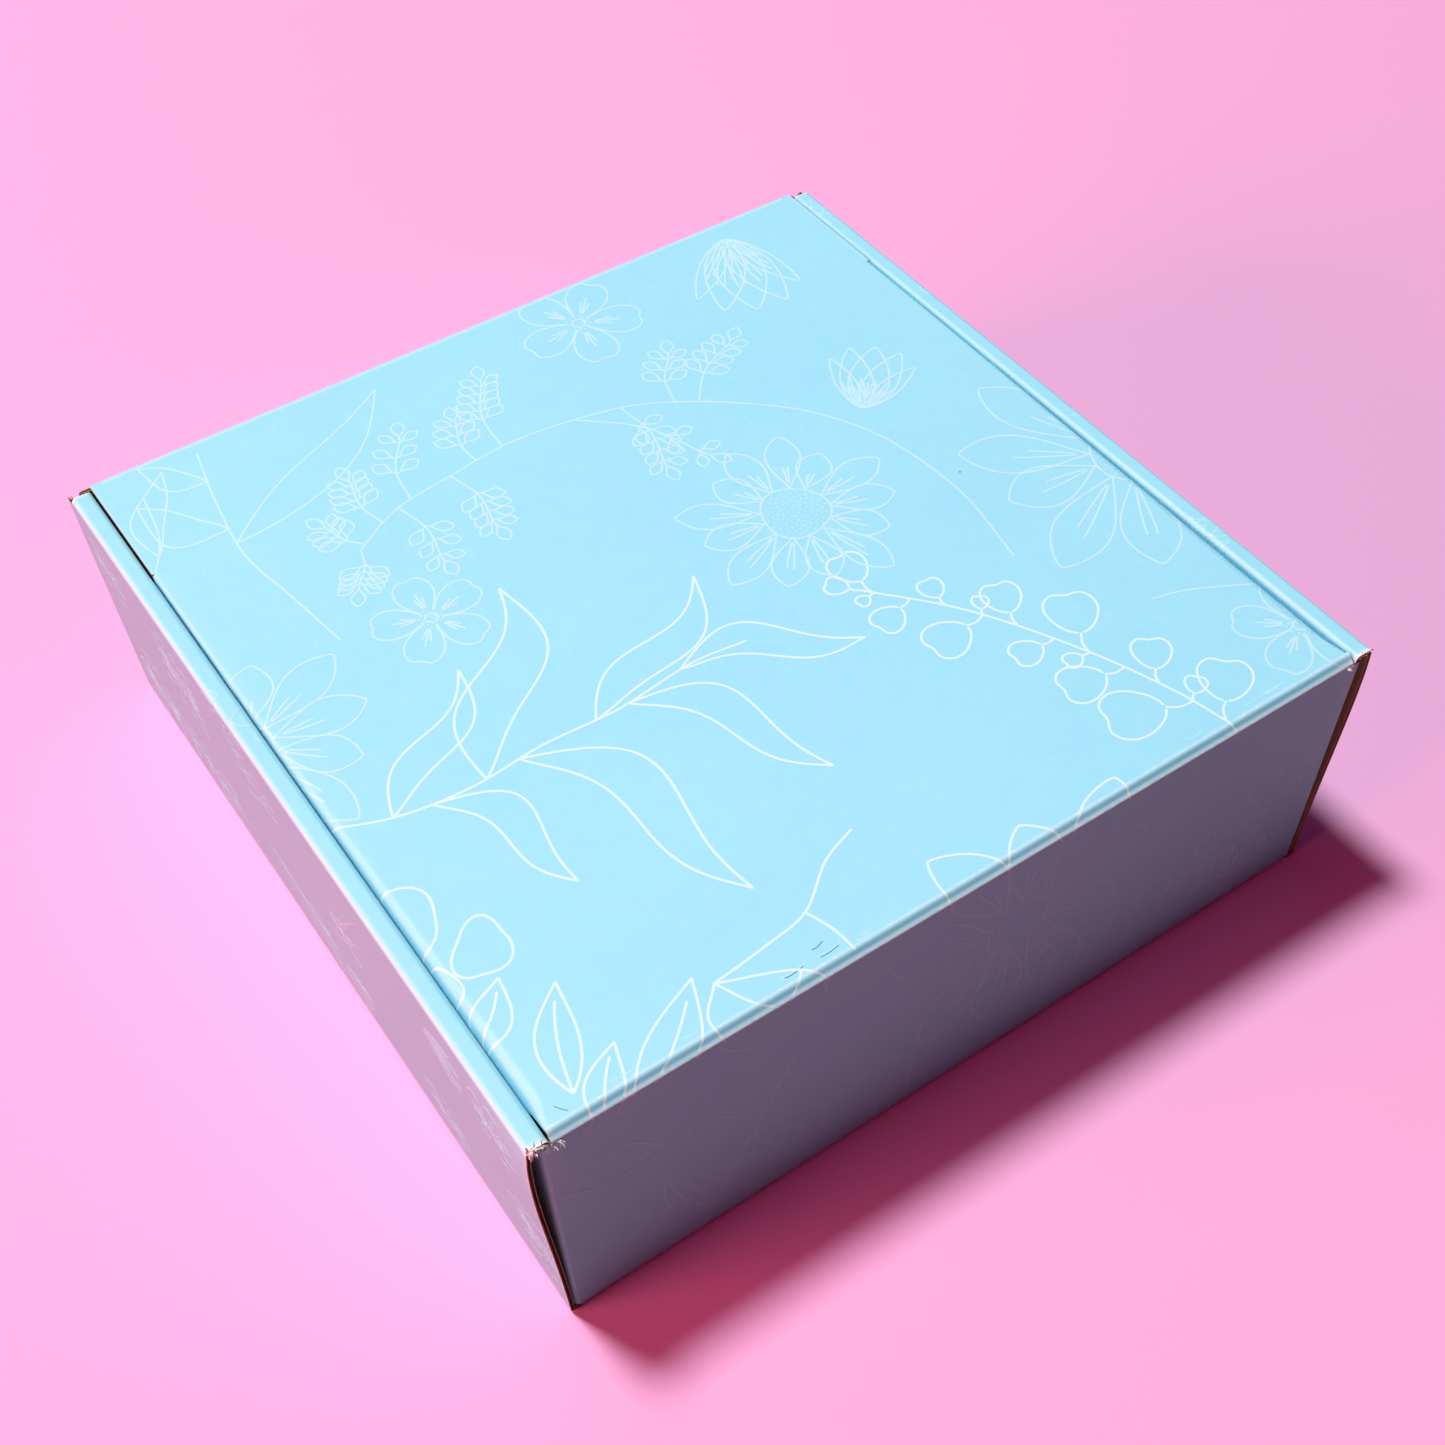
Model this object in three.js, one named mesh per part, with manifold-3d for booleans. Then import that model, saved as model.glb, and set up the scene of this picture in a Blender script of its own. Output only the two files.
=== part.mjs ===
import * as THREE from 'three';
import { mergeVertices } from 'three/addons/utils/BufferGeometryUtils.js';
import Module from 'manifold-3d';

const wasm = await Module();
wasm.setup();

// Roll-end tuck-front mailer box of thin corrugated board, shown closed.
// Millimetres, +Z up. The origin is the middle of the underside.
// The front, where the lid tucks in, is -Y and the hinge side is +Y.
// The box is one folded blank: each panel between two creases is one solid.

// Outside of the closed box
const boxWidth = 305;
const boxDepth = 302;
const boxHeight = 101;

// Board, and the spaces between panels
const board = 1.5;
const fit = 0.3; // between panels that lie against each other
const slide = 0.7; // between the lid and the side walls
const foldRadius = 1.2; // round of a fold's outside

// Tray
const wallFlare = 6; // each outer side wall's lean outwards from floor to top
const innerFlare = 4; // the same lean of the inner walls and corner flaps
const rollSetback = 6; // the rolled top starts this far behind the front
const sideSetback = 1; // the side walls start this far behind the front
const frontDrop = 3.5; // the front wall's top edge below the lid's top
const cornerFlapLength = 95;
const cornerFlapTaper = 6; // drop of a corner flap's top edge towards its end
const innerEndGap = 1; // from each end of an inner wall to the wall it meets

// Lock tabs of the inner side walls, and their slots in the floor
const tabLength = 42;
const tabTaper = 2;
const tabSpacing = 160;
const slotEndGap = 1;

// Hinge: two creases with a narrow spine between them
const spineRise = 2.4; // height and depth of the spine's slope

// Lid flaps
const tuckDepth = 45;
const tuckSwingMargin = 0.15; // degrees of lean beyond what the lid's swing needs
const tuckSideGap = 4; // from the lid's side edge to the tuck flap
const tuckTaper = 6;
const tuckCornerRadius = 14;
const dustDepth = 42;
const dustLean = 3; // degrees inwards from straight down
const dustTuckGap = 6; // between the folded tuck flap and a dust flap
const dustBackSetback = 11;
const dustSlope = 16; // how far a dust flap's ends slope in
const dustCornerRadius = 8;

// Places that several panels share
const halfWidth = boxWidth / 2;
const halfDepth = boxDepth / 2;
const floorWallX = halfWidth - wallFlare; // outside of the side walls, here and below at the floor
const cornerX = floorWallX - board - fit; // outside of the corner flaps
const innerOuterX = cornerX - board - fit; // outside of the inner side walls
const innerX = innerOuterX - board; // inside of the inner side walls
const rolledInnerX = innerX + innerFlare; // inside of the rolled tops
const lidHalfWidth = rolledInnerX - slide;
const endWallY = halfDepth - board; // inside of the front and back walls
const underTopZ = boxHeight - board - fit; // just below the lid and the rolled tops
const onFloorZ = board + fit; // just above the floor panel
const lidFrontY = -(endWallY - slide);
const spineLowZ = boxHeight - spineRise;
const spineInY = halfDepth - spineRise;

// As the lid opens, the tuck flap's edge swings out by about its depth squared over twice
// the lid's length, so the flap leans in by at least that much, in degrees from straight down
const lidLength = spineInY - lidFrontY;
const swingLean = THREE.MathUtils.radToDeg(Math.asin(tuckDepth / (2 * lidLength)));
const tuckLean = swingLean + tuckSwingMargin;

const printedBlue = 0xa9def2;
const kraftInside = 0xb98f62;

function paperMaterial(colour, roughness) {
  return new THREE.MeshStandardMaterial({ color: colour, roughness, metalness: 0 });
}

function namedMesh(name, geometry, colour = printedBlue, roughness = 0.55) {
  const mesh = new THREE.Mesh(geometry, paperMaterial(colour, roughness));
  mesh.name = name;
  return mesh;
}

function extrude(shape, depth) {
  return new THREE.ExtrudeGeometry(shape, { depth, bevelEnabled: false, curveSegments: 6 });
}

// A profile drawn in x and z, carried along Y from yStart to yEnd
function alongY(shape, yStart, yEnd) {
  const turn = new THREE.Matrix4().makeBasis(
    new THREE.Vector3(1, 0, 0),
    new THREE.Vector3(0, 0, 1),
    new THREE.Vector3(0, -1, 0)
  );
  return extrude(shape, yEnd - yStart).applyMatrix4(turn).translate(0, yEnd, 0);
}

// A profile drawn in y and z, carried along X from xStart to xEnd
function alongX(shape, xStart, xEnd) {
  const turn = new THREE.Matrix4().makeBasis(
    new THREE.Vector3(0, 1, 0),
    new THREE.Vector3(0, 0, 1),
    new THREE.Vector3(1, 0, 0)
  );
  return extrude(shape, xEnd - xStart).applyMatrix4(turn).translate(xStart, 0, 0);
}

function polygon(points) {
  return new THREE.Shape(points.map(([u, v]) => new THREE.Vector2(u, v)));
}

// A closed geometry as a solid that can be cut
function solid(geometry) {
  const plain = geometry.clone();
  plain.deleteAttribute('normal');
  plain.deleteAttribute('uv');
  const merged = mergeVertices(plain);
  const vertProperties = new Float32Array(merged.attributes.position.array);
  const triVerts = new Uint32Array(merged.index.array);
  return new wasm.Manifold(new wasm.Mesh({ numProp: 3, vertProperties, triVerts }));
}

// A solid back as a geometry with flat faces
function geometryOf(cutSolid) {
  const mesh = cutSolid.getMesh();
  const geometry = new THREE.BufferGeometry();
  geometry.setAttribute('position', new THREE.BufferAttribute(mesh.vertProperties, 3));
  geometry.setIndex(new THREE.BufferAttribute(mesh.triVerts, 1));
  geometry.computeVertexNormals();
  return geometry;
}

// A closed outline whose corners are rounded, each by its own radius
function roundedOutline(corners) {
  const shape = new THREE.Shape();
  corners.forEach(([u, v, radius], index) => {
    const corner = new THREE.Vector2(u, v);
    const [prevU, prevV] = corners[(index + corners.length - 1) % corners.length];
    const [nextU, nextV] = corners[(index + 1) % corners.length];
    const toPrev = new THREE.Vector2(prevU, prevV).sub(corner).normalize();
    const toNext = new THREE.Vector2(nextU, nextV).sub(corner).normalize();
    const start = corner.clone().addScaledVector(toPrev, radius);
    const end = corner.clone().addScaledVector(toNext, radius);
    if (index === 0) {
      shape.moveTo(start.x, start.y);
    } else {
      shape.lineTo(start.x, start.y);
    }
    if (radius > 0) {
      shape.quadraticCurveTo(corner.x, corner.y, end.x, end.y);
    }
  });
  shape.closePath();
  return shape;
}

// Outside of a side wall at a height: it leans out by the flare over the full height
function wallOutsideX(z) {
  return floorWallX + (wallFlare * z) / boxHeight;
}

// An upright panel of one side, sheared outwards to the lean of the inner walls
function leanOut(geometry, side) {
  const lean = new THREE.Matrix4();
  lean.elements[8] = (side * innerFlare) / boxHeight;
  return geometry.applyMatrix4(lean);
}

// An end wall whose two upright ends lean out to meet the leaning corner flaps
function leanEnds(geometry) {
  const position = geometry.attributes.position;
  for (let i = 0; i < position.count; i += 1) {
    const lean = (innerFlare * position.getZ(i)) / boxHeight;
    position.setX(i, position.getX(i) + Math.sign(position.getX(i)) * lean);
  }
  return geometry;
}

// Floor panel, with a slot cut right through for each lock tab
function basePanel() {
  const floor = new THREE.BoxGeometry(2 * cornerX, 2 * (endWallY - fit), board);
  let panel = solid(floor.translate(0, 0, board / 2));
  for (const side of [-1, 1]) {
    for (const end of [-1, 1]) {
      const slot = new THREE.BoxGeometry(board + 2 * fit, tabLength + 2 * slotEndGap, 4 * board);
      slot.translate(side * (innerX + board / 2), (end * tabSpacing) / 2, 0);
      panel = panel.subtract(solid(slot));
    }
  }
  return namedMesh('base_panel', geometryOf(panel), kraftInside, 0.8);
}

// Front wall: a plain panel whose lower outside edge is a rounded fold
function frontWall() {
  const top = boxHeight - frontDrop;
  const profile = roundedOutline([
    [-halfDepth, 0, foldRadius],
    [-endWallY, 0, 0],
    [-endWallY, top, 0],
    [-halfDepth, top, 0]
  ]);
  return namedMesh('front_wall', leanEnds(alongX(profile, -cornerX, cornerX)));
}

// Back wall: its top is mitred to meet the hinge spine
function backWall() {
  const mitreDrop = board * Math.tan(Math.PI / 8);
  const top = spineLowZ - fit / 2;
  const profile = roundedOutline([
    [endWallY, 0, 0],
    [halfDepth, 0, foldRadius],
    [halfDepth, top, 0],
    [endWallY, top - mitreDrop, 0]
  ]);
  return namedMesh('back_wall', leanEnds(alongX(profile, -cornerX, cornerX)));
}

// Outer side wall: leans out, and runs from the floor line to just under the rolled top
function sideOuter(name, side) {
  const outline = [
    [side * floorWallX, 0, foldRadius],
    [side * wallOutsideX(underTopZ), underTopZ, 0],
    [side * (wallOutsideX(underTopZ) - board), underTopZ, 0],
    [side * (floorWallX - board), 0, 0]
  ];
  const profile = roundedOutline(side > 0 ? outline : outline.reverse());
  return namedMesh(name, alongY(profile, -halfDepth + sideSetback, halfDepth));
}

// Rolled top: the strip between the two creases at the top of a side wall
function sideTop(name, side) {
  const low = boxHeight - board;
  const outline = [
    [side * halfWidth, boxHeight, foldRadius],
    [side * rolledInnerX, boxHeight, foldRadius],
    [side * rolledInnerX, low, 0],
    [side * halfWidth, low, 0]
  ];
  const profile = roundedOutline(side > 0 ? outline : outline.reverse());
  return namedMesh(name, alongY(profile, -halfDepth + rollSetback, halfDepth));
}

// Inner side wall: stands on the floor panel, with two tabs down in its slots
function sideInner(name, side) {
  const halfLength = endWallY - innerEndGap;
  const outline = [[-halfLength, onFloorZ]];
  for (const end of [-1, 1]) {
    const middle = (end * tabSpacing) / 2;
    const root = tabLength / 2;
    outline.push([middle - root, onFloorZ]);
    outline.push([middle - root + tabTaper, fit]);
    outline.push([middle + root - tabTaper, fit]);
    outline.push([middle + root, onFloorZ]);
  }
  outline.push([halfLength, onFloorZ], [halfLength, underTopZ], [-halfLength, underTopZ]);
  const xStart = side > 0 ? innerX : -innerOuterX;
  const panel = leanOut(alongX(polygon(outline), xStart, xStart + board), side);
  return namedMesh(name, panel, kraftInside, 0.8);
}

// Corner flap: folded back from an end wall, inside the double side wall
function cornerFlap(name, side, end) {
  const startY = endWallY - fit;
  const endY = startY - cornerFlapLength;
  const outline = [
    [end * startY, onFloorZ, 0],
    [end * startY, underTopZ, 0],
    [end * endY, underTopZ - cornerFlapTaper, cornerFlapTaper],
    [end * endY, onFloorZ, cornerFlapTaper]
  ];
  const xStart = side > 0 ? cornerX - board : -cornerX;
  const profile = roundedOutline(end > 0 ? outline : outline.reverse());
  return namedMesh(name, leanOut(alongX(profile, xStart, xStart + board), side));
}

// Hinge spine: the narrow sloping strip between the two hinge creases
function hingeSpine() {
  const mitre = board * Math.tan(Math.PI / 8);
  const length = spineRise * Math.SQRT2;
  const gap = fit / 2;
  // along the slope from the lower crease, and inwards through the board
  const strip = polygon([
    [gap, 0],
    [length - gap, 0],
    [length - gap - mitre, -board],
    [gap + mitre, -board]
  ]);
  const slope = new THREE.Matrix4().makeBasis(
    new THREE.Vector3(0, -Math.SQRT1_2, Math.SQRT1_2),
    new THREE.Vector3(0, Math.SQRT1_2, Math.SQRT1_2),
    new THREE.Vector3(-1, 0, 0)
  );
  const geometry = extrude(strip, 2 * lidHalfWidth).applyMatrix4(slope);
  geometry.translate(lidHalfWidth, halfDepth, spineLowZ);
  return namedMesh('hinge_spine', geometry);
}

// Lid panel: its back edge is mitred to meet the hinge spine
function lidPanel() {
  const mitre = board * Math.tan(Math.PI / 8);
  const back = spineInY - fit / 2;
  const low = boxHeight - board;
  const profile = roundedOutline([
    [lidFrontY, low, 0],
    [back - mitre, low, 0],
    [back, boxHeight, 0],
    [lidFrontY, boxHeight, foldRadius]
  ]);
  return namedMesh('lid_panel', alongX(profile, -lidHalfWidth, lidHalfWidth), printedBlue, 0.5);
}

// Tuck flap, drawn from its crease line: x along the crease, y down the flap
function tuckFlap() {
  const topHalf = lidHalfWidth - tuckSideGap;
  const lowHalf = topHalf - tuckTaper;
  const outline = roundedOutline([
    [-topHalf, 0, 0],
    [-lowHalf, -tuckDepth, tuckCornerRadius],
    [lowHalf, -tuckDepth, tuckCornerRadius],
    [topHalf, 0, 0]
  ]);
  const hang = new THREE.Matrix4().makeBasis(
    new THREE.Vector3(1, 0, 0),
    new THREE.Vector3(0, 0, 1),
    new THREE.Vector3(0, -1, 0)
  );
  const mesh = namedMesh('tuck_flap', extrude(outline, board).applyMatrix4(hang));
  const crease = new THREE.Group();
  crease.position.set(0, lidFrontY + board, underTopZ);
  crease.rotation.x = THREE.MathUtils.degToRad(tuckLean);
  crease.add(mesh);
  return crease;
}

// Dust flap: hangs from the lid's side edge behind the place the tuck flap folds into
function dustFlap(name, side) {
  const frontY = lidFrontY + board + tuckDepth + dustTuckGap;
  const backY = halfDepth - dustBackSetback;
  const profile = roundedOutline([
    [frontY, 0, 0],
    [frontY + dustSlope, -dustDepth, dustCornerRadius],
    [backY - dustSlope, -dustDepth, dustCornerRadius],
    [backY, 0, 0]
  ]);
  const xStart = side > 0 ? 0 : -board;
  const mesh = namedMesh(name, alongX(profile, xStart, xStart + board));
  const crease = new THREE.Group();
  crease.position.set(side * (lidHalfWidth - board), 0, underTopZ);
  crease.rotation.y = side * THREE.MathUtils.degToRad(dustLean);
  crease.add(mesh);
  return crease;
}

const box = new THREE.Group();
box.name = 'mailer_box';
box.add(basePanel(), frontWall(), backWall());
for (const [word, side] of [['left', -1], ['right', 1]]) {
  box.add(sideOuter(`side_outer_${word}`, side));
  box.add(sideTop(`side_top_${word}`, side));
  box.add(sideInner(`side_inner_${word}`, side));
  box.add(cornerFlap(`front_corner_flap_${word}`, side, -1));
  box.add(cornerFlap(`back_corner_flap_${word}`, side, 1));
}

const lid = new THREE.Group();
lid.add(hingeSpine(), lidPanel(), tuckFlap());
lid.add(dustFlap('dust_flap_left', -1), dustFlap('dust_flap_right', 1));
box.add(lid);

export default box;
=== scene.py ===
import math

import bpy
import numpy as np
from mathutils import Matrix, Vector


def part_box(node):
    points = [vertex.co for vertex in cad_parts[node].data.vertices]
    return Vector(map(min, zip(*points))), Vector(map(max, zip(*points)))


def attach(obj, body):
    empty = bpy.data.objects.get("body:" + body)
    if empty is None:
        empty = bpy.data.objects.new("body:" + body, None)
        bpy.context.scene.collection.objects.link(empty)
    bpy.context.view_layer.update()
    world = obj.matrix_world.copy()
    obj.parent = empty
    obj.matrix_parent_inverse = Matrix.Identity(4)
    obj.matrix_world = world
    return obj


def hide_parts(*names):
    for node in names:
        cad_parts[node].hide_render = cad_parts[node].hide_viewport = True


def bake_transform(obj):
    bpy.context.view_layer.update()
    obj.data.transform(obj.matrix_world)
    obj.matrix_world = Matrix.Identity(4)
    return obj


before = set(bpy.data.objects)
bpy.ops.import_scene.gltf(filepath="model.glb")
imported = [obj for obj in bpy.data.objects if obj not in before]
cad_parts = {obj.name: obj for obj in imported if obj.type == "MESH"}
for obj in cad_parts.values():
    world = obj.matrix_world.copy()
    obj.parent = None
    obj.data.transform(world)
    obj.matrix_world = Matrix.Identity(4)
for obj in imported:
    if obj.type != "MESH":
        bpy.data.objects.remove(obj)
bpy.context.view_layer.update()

# All shapes are worked out in millimetres and go into the meshes in metres.
# +Z is up, the front (tuck side) is -Y, the hinge side is +Y, and right is +X.
mm = 0.001


# Lowest and highest corners of a CAD node in millimetres
def nodeBox(node):
    low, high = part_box(node)
    return np.array(low) / mm, np.array(high) / mm


sideLow, sideHigh = nodeBox("side_outer_right")
topLow, topHigh = nodeBox("side_top_right")
lidLow, lidHigh = nodeBox("lid_panel")
wallHigh = nodeBox("back_wall")[1]
frontHigh = nodeBox("front_wall")[1]
floorHigh = nodeBox("base_panel")[1]
innerLow, innerHigh = nodeBox("side_inner_right")
flapLow = nodeBox("back_corner_flap_right")[0]
tuckLow, tuckHigh = nodeBox("tuck_flap")
dustLow, dustHigh = nodeBox("dust_flap_right")

boxTop = lidHigh[2]
halfWidth = topHigh[0]
halfDepth = wallHigh[1]

board = {
    "thick": lidHigh[2] - lidLow[2],
    "liner": 0.27,  # each flat paper
    "medium": 0.18,  # the waved paper between them
    "pitch": 3.3,  # one wave
    "perWave": 6,  # steps in one wave
    "crush": 0.3,  # share of the thickness lost along a crease
    "crushReach": 1.3,
    "gap": 0.3,  # between panels where the crushed crease joins them
    "sharp": 35,  # degrees between faces from which an edge stays sharp
}


# Distances along a line: every break, with even steps of at most the given size between
def stations(breaks, steps):
    breaks = np.asarray(breaks, float)
    steps = np.broadcast_to(steps, len(breaks) - 1)
    parts = []
    for low, high, step in zip(breaks[:-1], breaks[1:], steps):
        count = max(1, int(np.ceil((high - low) / step - 1e-6)))
        parts.append(np.linspace(low, high, count + 1)[:-1])
    return np.concatenate(parts + [breaks[-1:]])


# A closed sheet between two grids of points. Cells left out of the mask are holes,
# and every open side of a cell that stays gets a wall from one grid to the other.
def closedSheet(faceA, faceB, mask):
    rows, columns = faceA.shape[:2]
    index = np.arange(rows * columns).reshape(rows, columns)
    other = index + rows * columns
    a, b = index[:-1, :-1], index[1:, :-1]
    c, d = index[1:, 1:], index[:-1, 1:]
    a2, b2, c2, d2 = other[:-1, :-1], other[1:, :-1], other[1:, 1:], other[:-1, 1:]
    padded = np.pad(mask, 1)
    openLow = mask & ~padded[:-2, 1:-1]
    openHigh = mask & ~padded[2:, 1:-1]
    openLeft = mask & ~padded[1:-1, :-2]
    openRight = mask & ~padded[1:-1, 2:]
    groups = [
        (mask, (a, b, c, d), 0),
        (mask, (d2, c2, b2, a2), 1),
        (openLow, (a, d, d2, a2), 2),
        (openHigh, (c, b, b2, c2), 2),
        (openLeft, (b, a, a2, b2), 2),
        (openRight, (d, c, c2, d2), 2),
    ]
    quads = np.concatenate([np.stack(corners, -1)[where] for where, corners, kind in groups])
    kinds = np.concatenate([np.full(where.sum(), kind) for where, corners, kind in groups])
    points = np.concatenate([faceA.reshape(-1, 3), faceB.reshape(-1, 3)])
    used, inverse = np.unique(quads, return_inverse=True)
    return points[used], outwards(points[used], inverse.reshape(quads.shape)), kinds


# Turns all faces of a closed mesh round if its signed volume is negative
def outwards(points, quads):
    p = points[quads]
    volume = np.einsum("ij,ij->i", p[:, 0], np.cross(p[:, 1], p[:, 2]))
    volume = volume + np.einsum("ij,ij->i", p[:, 0], np.cross(p[:, 2], p[:, 3]))
    return quads if volume.sum() > 0 else quads[:, ::-1]


# A thin closed strip as one layer: four grids of corner points, one row for each step along it
def closedStrip(rows):
    points = np.stack(rows, 1).reshape(-1, 3)
    last = len(points) - 4
    starts = np.arange(0, last, 4)[:, None]
    corners = np.arange(4)[None, :]
    after = (corners + 1) % 4
    sides = np.stack([starts + corners, starts + after, starts + 4 + after, starts + 4 + corners], -1)
    caps = np.array([[3, 2, 1, 0], [last, last + 1, last + 2, last + 3]])
    quads = np.concatenate([sides.reshape(-1, 4), caps])
    return points, outwards(points - points.mean(0), quads), np.zeros(len(quads), int)


# Layers of corrugated board: a printed liner, a liner on the inside, and between them a sheet
# whose depth is a sine of the distance across the flutes. place(u, v, w) gives the points at
# depth w from the printed face; the flutes run along u, or along v when alongV is true.
def boardLayers(place, us, vs, keep=None, alongV=False):
    thick, liner = board["thick"], board["liner"]
    layers = []
    gridU, gridV = np.meshgrid(us, vs, indexing="ij")
    for near, far, kindSlots in ((0.0, liner, (0, 1, 2)), (thick - liner, thick, (1, 1, 2))):
        mask = cellMask(us, vs, keep)
        points, quads, kinds = closedSheet(
            place(gridU, gridV, near), place(gridU, gridV, far), mask
        )
        layers.append((points, quads, np.array(kindSlots)[kinds]))
    across = us if alongV else vs
    fine = np.arange(across[0], across[-1], board["pitch"] / board["perWave"])
    fine = np.unique(np.round(np.concatenate([across, fine]), 3))
    fineU, fineV = (fine, vs) if alongV else (us, fine)
    gridU, gridV = np.meshgrid(fineU, fineV, indexing="ij")
    half = board["medium"] / 2
    swing = thick / 2 - liner - half
    middle = thick / 2 + swing * np.sin(2 * np.pi * (gridU if alongV else gridV) / board["pitch"])
    points, quads, kinds = closedSheet(
        place(gridU, gridV, middle - half), place(gridU, gridV, middle + half),
        cellMask(fineU, fineV, keep),
    )
    layers.append((points, quads, np.full(len(quads), 3)))
    return layers


# Which cells of a grid stay, asked at their middles
def cellMask(us, vs, keep):
    midU = (us[:-1, None] + us[1:, None]) / 2
    midV = (vs[None, :-1] + vs[None, 1:]) / 2
    if keep is None:
        return np.ones((len(us) - 1, len(vs) - 1), bool)
    return np.broadcast_to(keep(midU, midV), (len(us) - 1, len(vs) - 1))


# One object from layers of points, quads and material numbers
def makePiece(name, layers, materials, wearAndHighlight=None):
    starts = np.cumsum([0] + [len(points) for points, quads, slots in layers[:-1]])
    points = np.concatenate([layer[0] for layer in layers])
    quads = np.concatenate([layer[1] + start for layer, start in zip(layers, starts)])
    slots = np.concatenate([layer[2] for layer in layers])
    mesh = bpy.data.meshes.new(name)
    mesh.vertices.add(len(points))
    mesh.vertices.foreach_set("co", (points * mm).astype(np.float32).ravel())
    mesh.loops.add(quads.size)
    mesh.loops.foreach_set("vertex_index", quads.astype(np.int32).ravel())
    mesh.polygons.add(len(quads))
    mesh.polygons.foreach_set("loop_start", np.arange(0, quads.size, quads.shape[1], dtype=np.int32))
    mesh.polygons.foreach_set("material_index", slots.astype(np.int32))
    for material in materials:
        mesh.materials.append(material)
    mesh.update(calc_edges=True)
    mesh.validate()
    mesh.shade_smooth()
    mesh.set_sharp_from_angle(angle=math.radians(board["sharp"]))
    # one value per point, for rubbed wear and for the painted highlight along folds and edges
    attribute = mesh.attributes.new("wearAndHighlight", "FLOAT", "POINT")
    values = np.zeros(len(points)) if wearAndHighlight is None else wearAndHighlight(points)
    attribute.data.foreach_set("value", values.astype(np.float32))
    piece = bpy.data.objects.new(name, mesh)
    bpy.context.scene.collection.objects.link(piece)
    return piece


# A path through corner points in a plane, each inner corner rounded by its radius.
# Straight runs keep their heading, and a fold's heading grows evenly along it.
def roundedPath(corners, radii):
    corners = np.asarray(corners, float)
    steps = np.diff(corners, axis=0)
    lengths = np.hypot(steps[:, 0], steps[:, 1])
    headings = np.unwrap(np.arctan2(steps[:, 1], steps[:, 0]))
    turns = np.diff(headings)
    cuts = np.asarray(radii) * np.tan(np.abs(turns) / 2)
    before = np.concatenate([[0], cuts])
    after = np.concatenate([cuts, [0]])
    distance, position = 0.0, corners[0]
    rows, folds = [], []
    for i, heading in enumerate(headings):
        rows.append((distance, position[0], position[1], heading, 0.0))
        run = lengths[i] - before[i] - after[i]
        distance += run
        position = position + run * np.array([np.cos(heading), np.sin(heading)])
        if i < len(turns):
            bend = radii[i] * abs(turns[i])
            rows.append((distance, position[0], position[1], heading, turns[i] / bend))
            folds.append((distance, distance + bend))
            distance += bend
            onward = np.array([np.cos(headings[i + 1]), np.sin(headings[i + 1])])
            position = corners[i + 1] + cuts[i] * onward
    return {"rows": np.array(rows), "folds": folds, "length": distance}


# The point of a path at a distance along its outside and a depth to its left
def alongPath(path, distance, depth):
    rows = path["rows"]
    index = np.clip(np.searchsorted(rows[:, 0], distance, side="right") - 1, 0, len(rows) - 1)
    start, a0, b0, heading, curve = np.moveaxis(rows[index], -1, 0)
    gone = distance - start
    now = heading + curve * gone
    straight = np.abs(curve) < 1e-9
    safe = np.where(straight, 1.0, curve)
    a = a0 + np.where(straight, gone * np.cos(heading), (np.sin(now) - np.sin(heading)) / safe)
    b = b0 + np.where(straight, gone * np.sin(heading), (np.cos(heading) - np.cos(now)) / safe)
    return a - depth * np.sin(now), b + depth * np.cos(now)


# Rises from 0 to 1 with level ends: 3 x squared less 2 x cubed
def smooth(x):
    x = np.clip(x, 0, 1)
    return x * x * (3 - 2 * x)


# Share of the thickness that stays at a distance: least at the middle of each fold
def crushed(distance, folds):
    loss = 0
    for low, high in folds:
        loss = loss + np.exp(-(((distance - (low + high) / 2) / board["crushReach"]) ** 2))
    return 1 - board["crush"] * np.clip(loss, 0, 1)


# A colour as screens name it, in the linear values that shaders take
def linear(red, green, blue):
    values = np.array([red, green, blue]) / 255
    bent = np.where(values <= 0.04045, values / 12.92, ((values + 0.055) / 1.055) ** 2.4)
    return (*bent.tolist(), 1.0)


# Links another node's socket, or sets a plain value
def join(tree, value, socket):
    if isinstance(value, bpy.types.NodeSocket):
        tree.links.new(value, socket)
    else:
        socket.default_value = value


# A node with its inputs joined or set, and its other settings
def addNode(tree, kind, inputs=None, **settings):
    made = tree.nodes.new(kind)
    for key, value in settings.items():
        setattr(made, key, value)
    for key, value in (inputs or {}).items():
        join(tree, value, made.inputs[key])
    return made


# One Math node; the inputs that its operation doesn't use stay at a half
def maths(tree, operation, first, second=0.5, third=0.5):
    return addNode(tree, "ShaderNodeMath", {0: first, 1: second, 2: third}, operation=operation).outputs[0]


# A node group with its input and output sockets: name, type and first value
def newGroup(name, inputs, outputs):
    group = bpy.data.node_groups.new(name, "ShaderNodeTree")
    for socketName, socketType, value in inputs:
        socket = group.interface.new_socket(socketName, in_out="INPUT", socket_type=socketType)
        if value is not None:
            socket.default_value = value
    for socketName, socketType in outputs:
        group.interface.new_socket(socketName, in_out="OUTPUT", socket_type=socketType)
    return group, addNode(group, "NodeGroupInput"), addNode(group, "NodeGroupOutput")


# Noise at one scale, from 0 to 1
def noise(tree, vector, scale, detail=3.0, roughness=0.55):
    inputs = {"Vector": vector, "Scale": scale, "Detail": detail, "Roughness": roughness}
    return addNode(tree, "ShaderNodeTexNoise", inputs).outputs["Fac"]


# Moves a value from one range to 0 to 1, held at both ends
def ranged(tree, value, low, high):
    inputs = {"Value": value, "From Min": low, "From Max": high}
    return addNode(tree, "ShaderNodeMapRange", inputs).outputs["Result"]


# The first colour where the factor is 0, the second where it is 1
def mixColour(tree, factor, first, second):
    made = addNode(tree, "ShaderNodeMix", data_type="RGBA")
    for socket, value in ((made.inputs[0], factor), (made.inputs[6], first), (made.inputs[7], second)):
        join(tree, value, socket)
    return made.outputs[2]


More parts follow.
